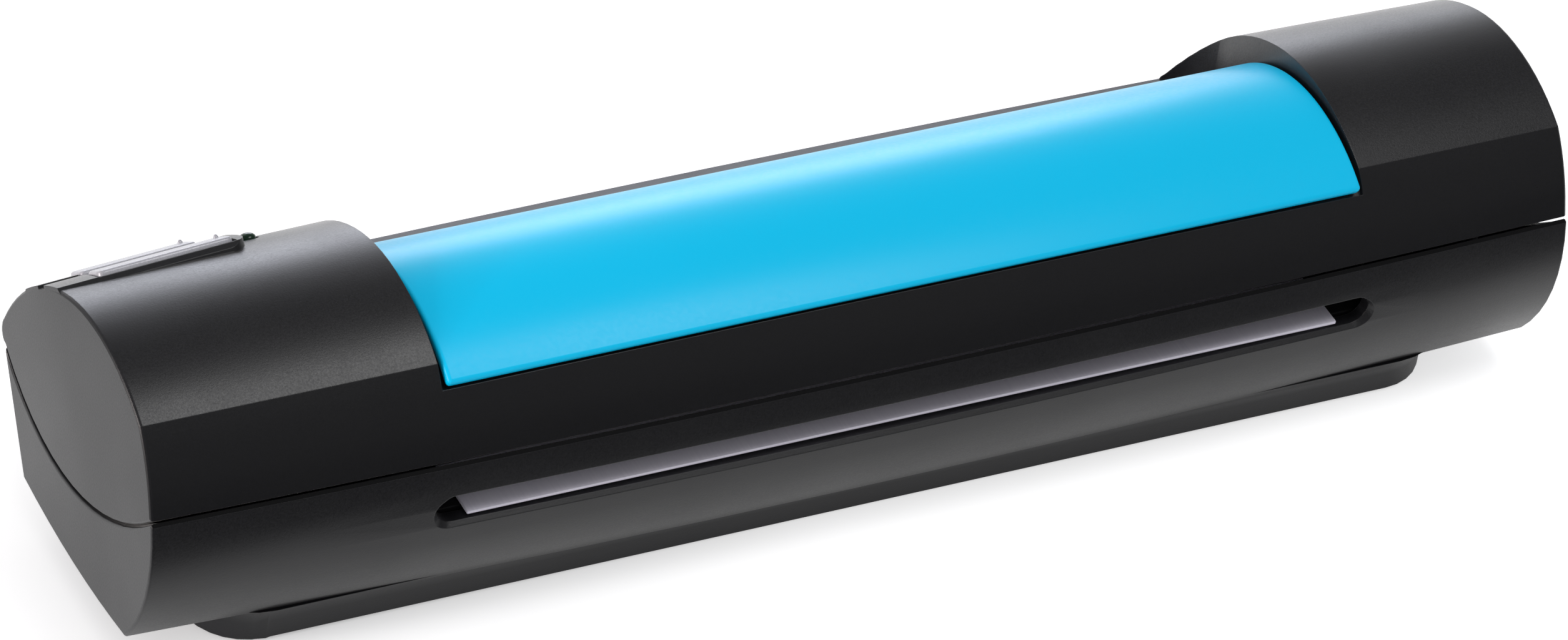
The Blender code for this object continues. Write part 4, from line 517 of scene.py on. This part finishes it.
cable_film, tree, shader, place = new_finish("white_cable_film", 1.6, 0.35)
bands = add_node(tree, "ShaderNodeTexWave", {"Vector": place, "Scale": math.pi / (10 * CONDUCTOR)},
                 wave_type="BANDS", bands_direction="Y")
stripe = spread(tree, bands.outputs["Fac"], 0.0, 1.0, start=0.45, end=0.6)
plug(tree, shader, tinted(tree, stripe, "#D9DCE4", "#A9ACB4"),
     normal=relief(tree, stripe, 0.3, 0.03 * MM))

white_nylon, tree, shader, place = new_finish("white_moulded_nylon", 1.53, 0.4)
cloud = noise(tree, place, NYLON_CLOUD, detail=3.0)
plug(tree, shader, tinted(tree, cloud, "#D8D6D0", "#EDEBE6"), spread(tree, cloud, 0.32, 0.5))

# %% [markdown]
# ## The two shells
# The solids of the shells already have the right form, so each is skinned as it is. A crease stays
# wherever two faces meet more sharply than the steps of the round parts do, such as the fine line
# along each drum where the grain ends. Each face then takes the finish of its place: the rear facet
# lies past the kink line, which bulges with the barrel's middle, the ridge's top is found in the
# ridge's own frame, and the parting land is the lower shell's high level rim, which takes the
# painted shade of the joint.
#
# That frame serves the keys too: X runs along the ridge, Y down its slope and Z out of its face.

# %% Upper and lower shell
HALF, KINK_Y, HUB_GROWTH = 80.0 * MM, -13.15 * MM, 0.066
END_START_X, END_FACING = 75 * MM, 0.9
RIDGE_Y, RIDGE_Z, RIDGE_END_X = 11.07 * MM, 29.5 * MM, -55 * MM
TILT, PITCH = math.radians(38.7), math.radians(3.3)
TOP_NEAR, TOP_FACING = 0.05 * MM, 0.995
LAND_Z, LAND_FACING = 17 * MM, 0.6

ridge = (Matrix.Translation((-HALF, RIDGE_Y, RIDGE_Z))
         @ Matrix.Rotation(-TILT, 4, "X") @ Matrix.Rotation(-PITCH, 4, "Y")
         @ Matrix.Translation((HALF, 0, 0)))
to_ridge = ridge.inverted()


def upper_finish(face):
    """Return which finish a face of the upper shell takes."""
    middle, normal = face.center, face.normal
    is_end = abs(normal.x) > END_FACING and abs(middle.x) > END_START_X
    kink = KINK_Y * (1 + HUB_GROWTH * (1 - (middle.x / HALF) ** 2))
    if not is_end and middle.y < kink:
        return blasted_abs
    seat = to_ridge @ middle
    faces_up = (to_ridge.to_3x3() @ normal).z > TOP_FACING
    if faces_up and abs(seat.z) < TOP_NEAR and seat.x < RIDGE_END_X:
        return polished_abs
    return textured_abs


def lower_finish(face):
    """Return which finish a face of the lower shell takes."""
    is_land = face.normal.z > LAND_FACING and face.center.z > LAND_Z
    # The parting land takes the darker black that paints the joint's shade.
    return land_shade_abs if is_land else textured_abs


BLACKS = (textured_abs, blasted_abs, polished_abs, land_shade_abs)
for node, name, crease, hollow, finish_of in (
        ("upper_casing", "upper_shell", 17, 17, upper_finish),
        ("lower_casing", "lower_shell", 28, 56, lower_finish)):
    shell = hand_over(name, merged_solid(node), textured_abs, "main", [node],
                      crease=crease)
    for finish in BLACKS[1:]:
        shell.data.materials.append(finish)
    for face in shell.data.polygons:
        face.material_index = BLACKS.index(finish_of(face))
    shade_by_facet(shell, math.radians(crease), math.radians(hollow))
    print(name, len(shell.data.polygons), "faces")

# %% [markdown]
# ## The blue cover
# The cover is a curved plate 1.3 mm thick that follows an arc round the X axis. It is made as a
# turner would see it: the plate's cross-section is a flat rectangle, and spinning that round the
# arc's centre sweeps out the cover. Every edge then gets a soft round of nearly half a millimetre.

# %% Sweep and soften the cover
ARC_Y, ARC_Z, ARC_RADIUS = -4.6 * MM, 14.85 * MM, 19.3 * MM
COVER_THICK, COVER_ROUND, REAR_GAP = 1.3 * MM, 0.45 * MM, 0.3 * MM
COVER_REAR, COVER_FRONT, COVER_STEPS = math.radians(-35.8), math.radians(70.5), 72
SHARP = math.radians(60)


def soften(work, edges, radius, segments):
    """Round some edges of a working bmesh."""
    bmesh.ops.bevel(work, geom=edges, offset=radius, segments=segments, profile=0.5,
                    affect="EDGES", material=-1, clamp_overlap=True)


def sharp_edges(work):
    """Return the edges where two faces meet sharply."""
    return [edge for edge in work.edges if edge.calc_face_angle(0) > SHARP]


def only_edges(parts):
    """Return the edges among the parts that an operator gives back."""
    return [part for part in parts if isinstance(part, bmesh.types.BMEdge)]


low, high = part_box("top_panel")
rear = COVER_REAR + REAR_GAP / ARC_RADIUS
outer, inner = ARC_Z + ARC_RADIUS, ARC_Z + ARC_RADIUS - COVER_THICK
work = bmesh.new()
section = [work.verts.new((x, ARC_Y, z)) for x, z in
           ((low.x, outer), (high.x, outer), (high.x, inner), (low.x, inner))]
rim = [work.edges.new((section[at], section[(at + 1) % 4])) for at in range(4)]
centre = Vector((0, ARC_Y, ARC_Z))
bmesh.ops.rotate(work, verts=work.verts, cent=centre, matrix=Matrix.Rotation(-rear, 3, "X"))
spun = bmesh.ops.spin(work, geom=section + rim, cent=centre, axis=(-1, 0, 0),
                      angle=COVER_FRONT - rear, steps=COVER_STEPS)
bmesh.ops.edgeloop_fill(work, edges=rim)
bmesh.ops.edgeloop_fill(work, edges=only_edges(spun["geom_last"]))
bmesh.ops.recalc_face_normals(work, faces=work.faces)
soften(work, sharp_edges(work), COVER_ROUND, segments=4)
cover = hand_over("top_cover", work, satin_blue, "main", ["top_panel"], crease=50)
print("top_cover", len(cover.data.polygons), "faces")

# %% [markdown]
# ## The two bar keys
# Each key is a slim bar in the tilted ridge on the left drum, modelled in the ridge's own frame. A
# cube is stretched to the bar and its corners are rounded. Four cuts along it mark the middle strip
# that sinks into the shallow groove a finger feels, after the upper edges are rounded.

# %% The grooved bar
KEY_START, KEY_WIDTH, KEY_RISE = -75.3 * MM, 3.3 * MM, 0.6 * MM
KEY_CORNER, KEY_EDGE, HAIR = 0.55 * MM, 0.32 * MM, 0.01 * MM
GROOVE_HALF, GROOVE_EDGE = 0.35 * MM, 0.75 * MM
GROOVE_DEPTH, GROOVE_END = 0.16 * MM, 0.9 * MM
RIDGE_THICK, TAIL = 3.2 * MM, 0.5 * MM


def add_block(work, low, high):
    """Add a box between two corners to a working bmesh and return its vertices."""
    low, high = Vector(low), Vector(high)
    place = Matrix.Translation((low + high) / 2) @ Matrix.Diagonal((*(high - low), 1))
    return bmesh.ops.create_cube(work, size=1, matrix=place)["verts"]


def upright_edges(work, least):
    """Return the edges that climb by more than a height."""
    return [edge for edge in work.edges if abs(edge.verts[0].co.z - edge.verts[1].co.z) > least]


def grooved_bar(work, slope_y, end_x):
    """Add the bar of a key with its rounded edges and its finger groove."""
    half = KEY_WIDTH / 2
    add_block(work, (KEY_START, slope_y - half, -RIDGE_THICK - TAIL),
              (end_x, slope_y + half, KEY_RISE))
    soften(work, upright_edges(work, MM), KEY_CORNER, segments=5)
    for shift in (-GROOVE_EDGE, -GROOVE_HALF, GROOVE_HALF, GROOVE_EDGE):
        bmesh.ops.bisect_plane(work, geom=work.verts[:] + work.edges[:] + work.faces[:],
                               plane_co=(0, slope_y + shift, 0), plane_no=(0, 1, 0))
    top = [edge for edge in sharp_edges(work)
           if min(vert.co.z for vert in edge.verts) > KEY_RISE - HAIR]
    soften(work, top, KEY_EDGE, segments=4)
    sunk = [vert for vert in work.verts
            if abs(vert.co.y - slope_y) < GROOVE_HALF + HAIR and vert.co.z > KEY_RISE - 2 * HAIR
            and KEY_START + GROOVE_END < vert.co.x < end_x - GROOVE_END]
    bmesh.ops.translate(work, verts=sunk, vec=(0, 0, -GROOVE_DEPTH))


# %% [markdown]
# Under the ridge's skin a flange keeps the key from falling out, and a stem reaches down to its
# switch. The keys lie side by side on the ridge, and the one on the far side is shorter.

# %% The two keys
FLANGE_DROP, FLANGE_THICK, FLANGE_MARGIN = 0.3 * MM, 0.8 * MM, 0.4 * MM
STEM_HALF, STEM_FOOT, STEM_OVERLAP = 0.8 * MM, -4.7 * MM, 0.4 * MM


def key_bar(name, slope_y, length, node):
    """Model one bar key with its flange and stem."""
    work = bmesh.new()
    end_x = KEY_START + length
    grooved_bar(work, slope_y, end_x)
    top_z, wide = -RIDGE_THICK - FLANGE_DROP, KEY_WIDTH / 2 + FLANGE_MARGIN
    add_block(work, (KEY_START - FLANGE_MARGIN, slope_y - wide, top_z - FLANGE_THICK),
              (end_x + FLANGE_MARGIN, slope_y + wide, top_z))
    middle = KEY_START + length / 2
    add_block(work, (middle - STEM_HALF, slope_y - STEM_HALF, STEM_FOOT),
              (middle + STEM_HALF, slope_y + STEM_HALF, top_z - STEM_OVERLAP))
    bmesh.ops.transform(work, matrix=ridge, verts=work.verts)
    return hand_over(name, work, key_lacquer, node, [node], crease=40)


# Each key's middle line down the slope, and its length.
KEYS = {"scan_key": (-2.5 * MM, 14.6 * MM), "mode_key": (2.5 * MM, 12.7 * MM)}
for node, (slope_y, length) in KEYS.items():
    bar = key_bar(node.replace("_key", "_key_bar"), slope_y, length, node)
    print(bar.name, len(bar.data.polygons), "faces")

# %% [markdown]
# ## Touch marks and status light
# The touch marks are small lacquered nubs near the keys' inner ends, no bigger than a pinhead. The
# status light is a domed lens with a flange and a stem behind it. Both are round about the ridge's
# normal, so a quarter ellipse, with the stem's outline after it on the light, is spun to make them.

# %% Touch marks and the status light
MARK_RADIUS, MARK_RISE, MARK_SINK = 0.30 * MM, 0.55 * MM, 0.2 * MM
MARK_INSET, MARK_SHIFT = 0.75 * MM, 1.0 * MM
LIGHT_X, LIGHT_RADIUS, LIGHT_RISE, LIGHT_SINK = -57.7 * MM, 0.95 * MM, 0.65 * MM, 0.45 * MM
COLLAR_RADIUS, COLLAR_THICK, NECK, STEM_END = 1.25 * MM, 0.8 * MM, 2.4 * MM, -5.8 * MM
TURN_WELD = 0.001 * MM


def spun_profile(profile, steps, place, name, finish, body, stands_for=(), crease=40):
    """Spin a (radius, height) line once round the Z axis of a place."""
    work = bmesh.new()
    line = [work.verts.new((radius, 0, height)) for radius, height in profile]
    links = [work.edges.new(pair) for pair in zip(line, line[1:])]
    bmesh.ops.spin(work, geom=line + links, cent=(0, 0, 0), axis=(0, 0, 1), angle=2 * math.pi,
                   steps=steps, use_merge=True)
    bmesh.ops.remove_doubles(work, verts=work.verts, dist=TURN_WELD)
    bmesh.ops.transform(work, matrix=place, verts=work.verts)
    return hand_over(name, work, finish, body, stands_for, crease)


def quarter(radius, rise, base, steps=8):
    """Return a quarter ellipse from the axis out to the rim, above a base height."""
    turns = [math.pi / 2 * at / steps for at in range(steps + 1)]
    return [(radius * math.sin(turn), base + rise * math.cos(turn)) for turn in turns]


for node, (slope_y, length) in KEYS.items():
    spot = ridge @ Matrix.Translation((KEY_START + length - MARK_INSET, slope_y + MARK_SHIFT,
                                       KEY_RISE - MARK_SINK))
    spun_profile(quarter(MARK_RADIUS, MARK_RISE, 0) + [(0, 0)], 24, spot, node + "_mark",
                 key_lacquer, node)

collar_top = -LIGHT_SINK - NECK
collar_base = collar_top - COLLAR_THICK
lens_profile = quarter(LIGHT_RADIUS, LIGHT_RISE, -LIGHT_SINK, 12) + [
    (LIGHT_RADIUS, collar_top), (COLLAR_RADIUS, collar_top), (COLLAR_RADIUS, collar_base),
    (LIGHT_RADIUS, collar_base), (LIGHT_RADIUS, STEM_END), (0, STEM_END)]
lens = spun_profile(lens_profile, 40, ridge @ Matrix.Translation((LIGHT_X, 0, 0)), "status_lens",
                    green_lens, "main", ["status_light"])
print("status_lens", len(lens.data.polygons), "faces")

# %% [markdown]
# ## White film in the slot
# The film is a thin strip with its four corners clipped round so that no card catches on them. A
# stretched cube with bevelled corners gives that at once, and a finer bevel softens its rim.

# %% The calibration strip
FILM_CORNER, FILM_RIM, FILM_LEAST = 0.15 * MM, 0.08 * MM, 0.1 * MM

low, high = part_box("white_plate")
work = bmesh.new()
add_block(work, low, high)
soften(work, upright_edges(work, FILM_LEAST), FILM_CORNER, segments=3)
soften(work, sharp_edges(work), FILM_RIM, segments=2)
strip = hand_over("calibration_strip", work, white_film, "main", ["white_plate"])
print("calibration_strip", len(strip.data.polygons), "faces")

# %% [markdown]
# ## Turned parts
# Shafts, sleeves, small rollers and bushes are all turned on the X axis. One maker spins a closed
# section round the part's own axis. The section's outer corners are cut to a small chamfer first,
# as a lathe tool leaves them. Where the inner radius is zero the part is a rod.

# %% The lathe
ALONG_X = Matrix(((0, 0, 1), (1, 0, 0), (0, 1, 0))).to_4x4()


def lathe(name, node, outer, inner, chamfer, finish, steps=48):
    """Spin a chamfered section into a ring, or a rod when its inner radius is zero."""
    low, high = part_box(node)
    start, end = low.x, high.x
    axis = Vector((0, (low.y + high.y) / 2, (low.z + high.z) / 2))
    line = [(inner, start), (outer - chamfer, start), (outer, start + chamfer),
            (outer, end - chamfer), (outer - chamfer, end), (inner, end)]
    if inner > 0:
        line.append((inner, start))
    place = Matrix.Translation(axis) @ ALONG_X
    return spun_profile(line, steps, place, name, finish, body_of(node), [node], crease=30)


for count in (1, 2, 3):
    lathe("rubber_sleeve_%d" % count, "feed_sleeve_%d" % count, outer=4.0 * MM, inner=1.8 * MM,
          chamfer=0.2 * MM, finish=ground_rubber, steps=64)
    lathe("nip_roller_%d" % count, "pinch_roller_%d" % count, outer=2.0 * MM, inner=1.2 * MM,
          chamfer=0.15 * MM, finish=natural_acetal)
lathe("drive_shaft", "feed_shaft", outer=1.5 * MM, inner=0, chamfer=0.25 * MM,
      finish=turned_steel)
lathe("nip_axle", "pinch_axle", outer=0.9 * MM, inner=0, chamfer=0.15 * MM,
      finish=turned_steel, steps=32)
for side in ("left", "right"):
    lathe("shaft_bush_" + side, "bush_" + side, outer=2.6 * MM, inner=1.8 * MM,
          chamfer=0.15 * MM, finish=turned_brass)
print("turned 3 sleeves, 3 rollers, 2 shafts and 2 bushes")

# %% [markdown]
# ## Wound springs
# The solids hold each spring as a plain tube. The real ones are wound from 0.4 mm wire. Spinning a
# small circle round the spring's axis while it climbs makes the coil, and the first and last turns
# lie flat because they climb less. The springs give way as the sensor or the nip rises.

# %% Wind the springs
WIRE, WIRE_SIDES, COIL_RADIUS, TURN_STEPS = 0.2 * MM, 8, 1.4 * MM, 20
END_SHARE, MIDDLE_SHARE, TRAVEL = 0.09, 0.82, 0.8 * MM


def wind(name, node, turns):
    """Wind one compression spring."""
    low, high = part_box(node)
    axis = Vector(((low.x + high.x) / 2, (low.y + high.y) / 2, 0))
    work = bmesh.new()
    wire = bmesh.ops.create_circle(work, segments=WIRE_SIDES, radius=WIRE)["verts"]
    bmesh.ops.rotate(work, verts=wire, cent=(0, 0, 0), matrix=Matrix.Rotation(math.pi / 2, 3, "X"))
    bmesh.ops.translate(work, verts=wire, vec=axis + Vector((COIL_RADIUS, 0, low.z + WIRE)))
    climb = high.z - low.z - 2 * WIRE
    first = list(work.edges)
    last = list(wire) + first
    for share, count in ((END_SHARE, 1.0), (MIDDLE_SHARE, turns), (END_SHARE, 1.0)):
        steps = round(TURN_STEPS * count)
        last = bmesh.ops.spin(work, geom=last, cent=axis, axis=(0, 0, 1),
                              angle=2 * math.pi * count, dvec=(0, 0, climb * share / steps),
                              steps=steps)["geom_last"]
    bmesh.ops.edgeloop_fill(work, edges=first)
    bmesh.ops.edgeloop_fill(work, edges=only_edges(last))
    coil = hand_over(name, work, drawn_wire, "main", [node], crease=60)
    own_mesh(coil)
    return coil


for side in ("left", "right"):
    coil = wind("sensor_coil_" + side, "head_spring_" + side, 3)
    wind("nip_coil_" + side, "pinch_spring_" + side, 1.5)
print("sensor coil", len(coil.data.polygons), "faces")

# %% [markdown]
# ## Rubber feet
# The four feet are rubber buttons pressed into shallow seats. Each has a shallow dish in its tread,
# so that it stands on a ring, and a chamfered rim.

# %% Rubber feet
# The tread's (radius, height) line from the axis out, in millimetres.
TREAD = ((0, 0.12), (2.6, 0.12), (2.8, 0), (3.7, 0), (4.0, 0.3))
FOOT_RADIUS, FOOT_EDGE = 4.0 * MM, 0.1 * MM


def upright_axis(low, high):
    """Return where the upright axis through a box meets the floor."""
    return Vector(((low.x + high.x) / 2, (low.y + high.y) / 2, 0))


for count in (1, 2, 3, 4):
    low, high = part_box("foot_%d" % count)
    line = [(radius * MM, height * MM) for radius, height in TREAD]
    line += [(FOOT_RADIUS, high.z - FOOT_EDGE), (FOOT_RADIUS - FOOT_EDGE, high.z), (0, high.z)]
    spun_profile(line, 48, Matrix.Translation(upright_axis(low, high)), "foot_pad_%d" % count,
                 foot_rubber, "main", ["foot_%d" % count])
print("four feet turned")

# %% [markdown]
# ## Case screws
# The case screws have a pan head with a cross recess. The screw is spun, and the recess is two
# crossed bars taken out of the head with a Boolean, much as a punch presses it in.

# %% Cross-head screws
# The pan head's (radius, height) line from its outer face to its shoulder, in millimetres.
PAN = ((1.5, 0), (1.9, 0.15), (2.1, 0.45), (2.1, 1.0), (0.9, 1.0))
SHANK_RADIUS, TIP_RADIUS, TIP_LENGTH = 0.9 * MM, 0.45 * MM, 0.5 * MM
BAR_REACH, BAR_HALF, BAR_DEPTH, BAR_EXTRA, BAR_TURN = 1.1 * MM, 0.22 * MM, 0.6 * MM, 0.2 * MM, 0.4


def linked_object(name, work):
    """Put a working bmesh into the scene as a helper object."""
    mesh = bpy.data.meshes.new(name)
    work.to_mesh(mesh)
    work.free()
    helper = bpy.data.objects.new(name, mesh)
    bpy.context.scene.collection.objects.link(helper)
    return helper


def cross_punch(name, middle, base):
    """Return the punch: two crossed bars that reach into a screw's head."""
    punch = bmesh.new()
    for turn in (0, math.pi / 2):
        bar = add_block(punch, (-BAR_REACH, -BAR_HALF, base - BAR_EXTRA),
                        (BAR_REACH, BAR_HALF, base + BAR_DEPTH))
        bmesh.ops.rotate(punch, verts=bar, cent=(0, 0, 0),
                         matrix=Matrix.Rotation(turn + BAR_TURN, 3, "Z"))
    bmesh.ops.translate(punch, verts=punch.verts, vec=middle)
    return linked_object(name, punch)


def cross_screw(name, node):
    """Turn a screw and punch a cross recess into its head."""
    low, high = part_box(node)
    middle = upright_axis(low, high)
    head = [(0, low.z)] + [(radius * MM, low.z + height * MM) for radius, height in PAN]
    shank = [(SHANK_RADIUS, high.z - TIP_LENGTH), (TIP_RADIUS, high.z), (0, high.z)]
    screw = spun_profile(head + shank, 40, Matrix.Translation(middle), name, turned_steel, "main",
                         [node])
    tool = cross_punch(name + "_punch", middle, low.z)
    press = screw.modifiers.new("recess", "BOOLEAN")
    press.object = tool
    press.solver = "EXACT"
    press.use_self = True
    bpy.context.view_layer.update()
    punched = screw.evaluated_get(bpy.context.evaluated_depsgraph_get())
    done = bpy.data.meshes.new_from_object(punched)
    screw.modifiers.clear()
    screw.data = done
    bpy.data.objects.remove(tool, do_unlink=True)
    return screw


for count in (1, 2, 3):
    screw = cross_screw("cross_screw_%d" % count, "case_screw_%d" % count)
print("cross screw", len(screw.data.polygons), "faces")

# %% [markdown]
# ## Solids that keep their form
# Gears, motor, plate, switches and mouldings have the right form already. A copy of each is joined
# into one skin like the shells, so that its curved sides shade smooth and its edges stay crisp.

# %% Skins for the curved solids
SKIN_CREASE = 30
CURVED = {
    "path_guide": ("guide_deck", black_acetal, "dark_plastic"),
    "pinch_carrier": ("nip_carrier", black_acetal, "dark_plastic"),
    "scan_housing": ("sensor_housing", black_acetal, "dark_plastic"),
    "idler_gear": ("idler_wheel", natural_acetal, "gear_plastic"),
    "roller_gear": ("roller_wheel", natural_acetal, "gear_plastic"),
    "motor_pinion": ("brass_pinion", turned_brass, "brass"),
    "idler_pin": ("idler_stud", turned_steel, "steel"),
    "motor": ("motor_can", rolled_steel, "steel"),
    "gear_plate": ("gear_backplate", rolled_steel, "steel"),
    "scan_switch": ("scan_click_switch", black_acetal, "dark_plastic"),
    "mode_switch": ("mode_click_switch", black_acetal, "dark_plastic"),
    "data_shell": ("data_inlet_shell", rolled_steel, "steel"),
}
for node, (name, finish, slot) in CURVED.items():
    skin = hand_over(name, merged_solid(node), finish, body_of(node), [node],
                     crease=SKIN_CREASE)
    shade_by_facet(skin, math.radians(SKIN_CREASE))
print("skinned", len(CURVED), "solids")

# %% [markdown]
# ## The sensor's flat cable
# One end of the cable is in its socket on the main board and the other on the sensor, which floats
# up and down. On the real thing its lower end keeps to the main body, its upper end follows the
# sensor, and the drop between them takes up the motion. Here the cable is skinned where it lies and
# rides on no body.

# %% The sensor's flat cable
cable = hand_over("sensor_cable", merged_solid("flat_cable"), cable_film, None,
                  ["flat_cable"], crease=SKIN_CREASE)
shade_by_facet(cable, math.radians(SKIN_CREASE))
low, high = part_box("flat_cable")
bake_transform(cable)
print("sensor cable", len(cable.data.polygons), "faces")

# %% [markdown]
# ## Boards, chips and glass
# Boards, the chip, the socket, the lamp and the glass bars are plain boxes on the real object too,
# so their solids only take their finish.

# %% Finishes for the solids that stay
PLAIN = {
    "main_board": solder_mask, "switch_board": solder_mask, "sensor_board": solder_mask,
    "scanner_chip": black_acetal, "cable_socket": white_nylon, "status_lamp": white_nylon,
    "data_tongue": black_acetal, "scan_glass": float_glass, "lens_array": float_glass,
    "light_guide": white_nylon,
}
for node, finish in PLAIN.items():
    nodes[node].data.materials.clear()
    nodes[node].data.materials.append(finish)
print("refinished", len(PLAIN), "solids")

# %% [markdown]
# ## Floor, light and camera
# The scanner stands on a plain white sweep. The floor is matte and takes the soft shadow. It also
# gives off a little light of its own, but only to the camera and through glass, so it reads white
# in the picture without brightening the object. That glow fades in the crevice under the scanner,
# most at the left end, which deepens the contact shadow there.
#
# Reflections see the floor as a glow too, which fades toward the near side, to the left and in the
# contact shadow. In a studio the sweep is lit like that: bright under the product and dark where
# the camera stands. It gives the lower shell and the end face their gradients.

# %% White floor
WHITE = (1, 1, 1, 1)
FLOOR_HALF, CREVICE = 3.0, 22 * MM
# Where each fade of the floor's glow starts and ends, and the share it has there.
NEAR_FADE, NEAR_SHARES = (-50 * MM, -20 * MM), (0.05, 1.1)
LEFT_FADE, LEFT_SHARES = (-115 * MM, -84 * MM), (0.35, 1.3)
CONTACT_FADE, CONTACT_GLOWS, OPEN_GLOW = (-60 * MM, 0.0), (0.34, 0.60), 0.62


def ray_masks(tree):
    """Return a mask for rays from the camera or through glass, and one for reflections."""
    ray = add_node(tree, "ShaderNodeLightPath").outputs
    seen = maths(tree, "MAXIMUM", ray["Is Camera Ray"], ray["Is Transmission Ray"])
    return seen, ray["Is Glossy Ray"]


def glowing(tree, strength):
    """Add a white emission of a strength."""
    made = add_node(tree, "ShaderNodeEmission", {"Color": WHITE, "Strength": strength})
    return made.outputs["Emission"]


work = bmesh.new()
bmesh.ops.create_grid(work, x_segments=1, y_segments=1, size=FLOOR_HALF)
floor = linked_object("floor", work)
paper = bpy.data.materials.new("white_paper_sweep")
paper.use_nodes = True
tree = paper.node_tree
tree.nodes.remove(tree.nodes["Principled BSDF"])
seen, reflected = ray_masks(tree)
spot = add_node(tree, "ShaderNodeTexCoord").outputs["Object"]
across = add_node(tree, "ShaderNodeSeparateXYZ", {0: spot}).outputs
sky = add_node(tree, "ShaderNodeAmbientOcclusion", {"Distance": CREVICE}, samples=8).outputs["AO"]
near_share = spread(tree, across["Y"], *NEAR_SHARES, *NEAR_FADE)
left_share = spread(tree, across["X"], *LEFT_SHARES, *LEFT_FADE)
pool = maths(tree, "MULTIPLY", near_share, left_share)
mirrored = glowing(tree, maths(tree, "MULTIPLY", pool, sky))
least = spread(tree, across["X"], *CONTACT_GLOWS, *CONTACT_FADE)
own = glowing(tree, maths(tree, "MULTIPLY", seen, spread(tree, sky, least, OPEN_GLOW)))
lit = add_node(tree, "ShaderNodeBsdfDiffuse", {"Color": linear("#F2F2F4")}).outputs["BSDF"]
both = add_node(tree, "ShaderNodeAddShader", {0: lit, 1: own}).outputs["Shader"]
sweep = add_node(tree, "ShaderNodeMixShader", {0: reflected, 1: both, 2: mirrored})
tree.links.new(sweep.outputs["Shader"], tree.nodes["Material Output"].inputs["Surface"])
floor.data.materials.append(paper)
print("floor", 2 * FLOOR_HALF, "m wide")

# %% [markdown]
# The light is a plain studio: a small soft box overhead and toward the camera, a far one that rims
# the drums, and a strong warm one from the left for the end face, in an even pale room. The room is
# white where the camera sees it and dimmer as a lamp. Reflections see it bright low on the far side
# and dark overhead and near the camera. That keeps the blacks deep, and lets the drums and the
# cover pale off where they turn away.

# %% Room and lamps
FAR_WAY = (0.0, 0.95, -0.31)
ROOM_LIGHT, ROOM_DARK, ROOM_BRIGHT, ROOM_SEEN = 0.52, 0.18, 0.92, 1.0

world = bpy.data.worlds.new("pale_room")
bpy.context.scene.world = world
world.use_nodes = True
tree = world.node_tree
seen, reflected = ray_masks(tree)
way = add_node(tree, "ShaderNodeTexCoord").outputs["Generated"]
wall = spread(tree, dot_product(tree, way, FAR_WAY), ROOM_DARK, ROOM_BRIGHT, start=0.35, end=0.95)
level = add_node(tree, "ShaderNodeMix", {0: reflected, 2: ROOM_LIGHT, 3: wall}).outputs[0]
strength = add_node(tree, "ShaderNodeMix", {0: seen, 2: level, 3: ROOM_SEEN}).outputs[0]
back = tree.nodes["Background"]
back.inputs["Color"].default_value = WHITE
tree.links.new(strength, back.inputs["Strength"])


def soft_box(name, place, target, size, watts, colour="#FFFFFF"):
    """Hang a square area lamp that faces a point."""
    lamp = bpy.data.lights.new(name, "AREA")
    lamp.shape = "SQUARE"
    lamp.size = size
    lamp.energy = watts
    lamp.color = linear(colour)[:3]
    holder = bpy.data.objects.new(name, lamp)
    holder.location = place
    way = Vector(target) - Vector(place)
    holder.rotation_euler = way.to_track_quat("-Z", "Y").to_euler()
    bpy.context.scene.collection.objects.link(holder)


soft_box("overhead_box", place=(0.12, -0.14, 0.49), target=(0, 0, 0.01), size=0.20, watts=0.75)
soft_box("far_box", place=(0.30, 0.85, 0.10), target=(0, 0, 0.02), size=0.40, watts=2.6,
         colour="#EEF2FF")
soft_box("left_box", place=(-0.90, 0.05, 0.10), target=(-0.08, 0, 0.02), size=0.35, watts=8.0,
         colour="#FFF6F2")
print("pale room and", len(bpy.data.lights), "soft boxes")

# %% [markdown]
# The camera stands behind and above the left end, as far off as a long lens needs to keep the
# barrel's sides nearly parallel. Its place and turn were found by matching edges of the casing. The
# lens was found in pixels of the picture's width, and turns to millimetres of a 36 mm sensor.

# %% Camera
AZIMUTH, ELEVATION, ROLL = math.radians(-31.985), math.radians(38.788), math.radians(-9.317)
SHIFT_X, SHIFT_Y, REACH = -0.740 * MM, -7.729 * MM, 989.2 * MM
AIM = Vector((-0.3, 0.65, 4.1)) * MM
FOCAL_PIXELS, PICTURE_WIDTH, SENSOR = 15410.0, 2510, 36
CLIP_NEAR, CLIP_FAR = 0.01, 20

level_reach = math.cos(ELEVATION)
back_way = Vector((math.sin(AZIMUTH) * level_reach, -math.cos(AZIMUTH) * level_reach,
                   math.sin(ELEVATION)))
right_way = Vector((math.cos(AZIMUTH), math.sin(AZIMUTH), 0))
level_turn = Matrix((right_way, back_way.cross(right_way), back_way))
turn = (Matrix.Rotation(ROLL, 3, "Z") @ level_turn).transposed()
stand = turn @ Vector((-SHIFT_X, -SHIFT_Y, REACH)) + AIM
camera = bpy.data.cameras.new("camera")
camera.sensor_width = SENSOR
camera.lens = FOCAL_PIXELS * SENSOR / PICTURE_WIDTH
camera.clip_start = CLIP_NEAR
camera.clip_end = CLIP_FAR
eye = bpy.data.objects.new("camera", camera)
eye.matrix_world = Matrix.Translation(stand) @ turn.to_4x4()
bpy.context.scene.collection.objects.link(eye)
bpy.context.scene.camera = eye
bpy.context.scene.view_settings.view_transform = "Standard"
print("camera at", [round(c, 3) for c in stand], "lens", round(camera.lens, 1), "mm")
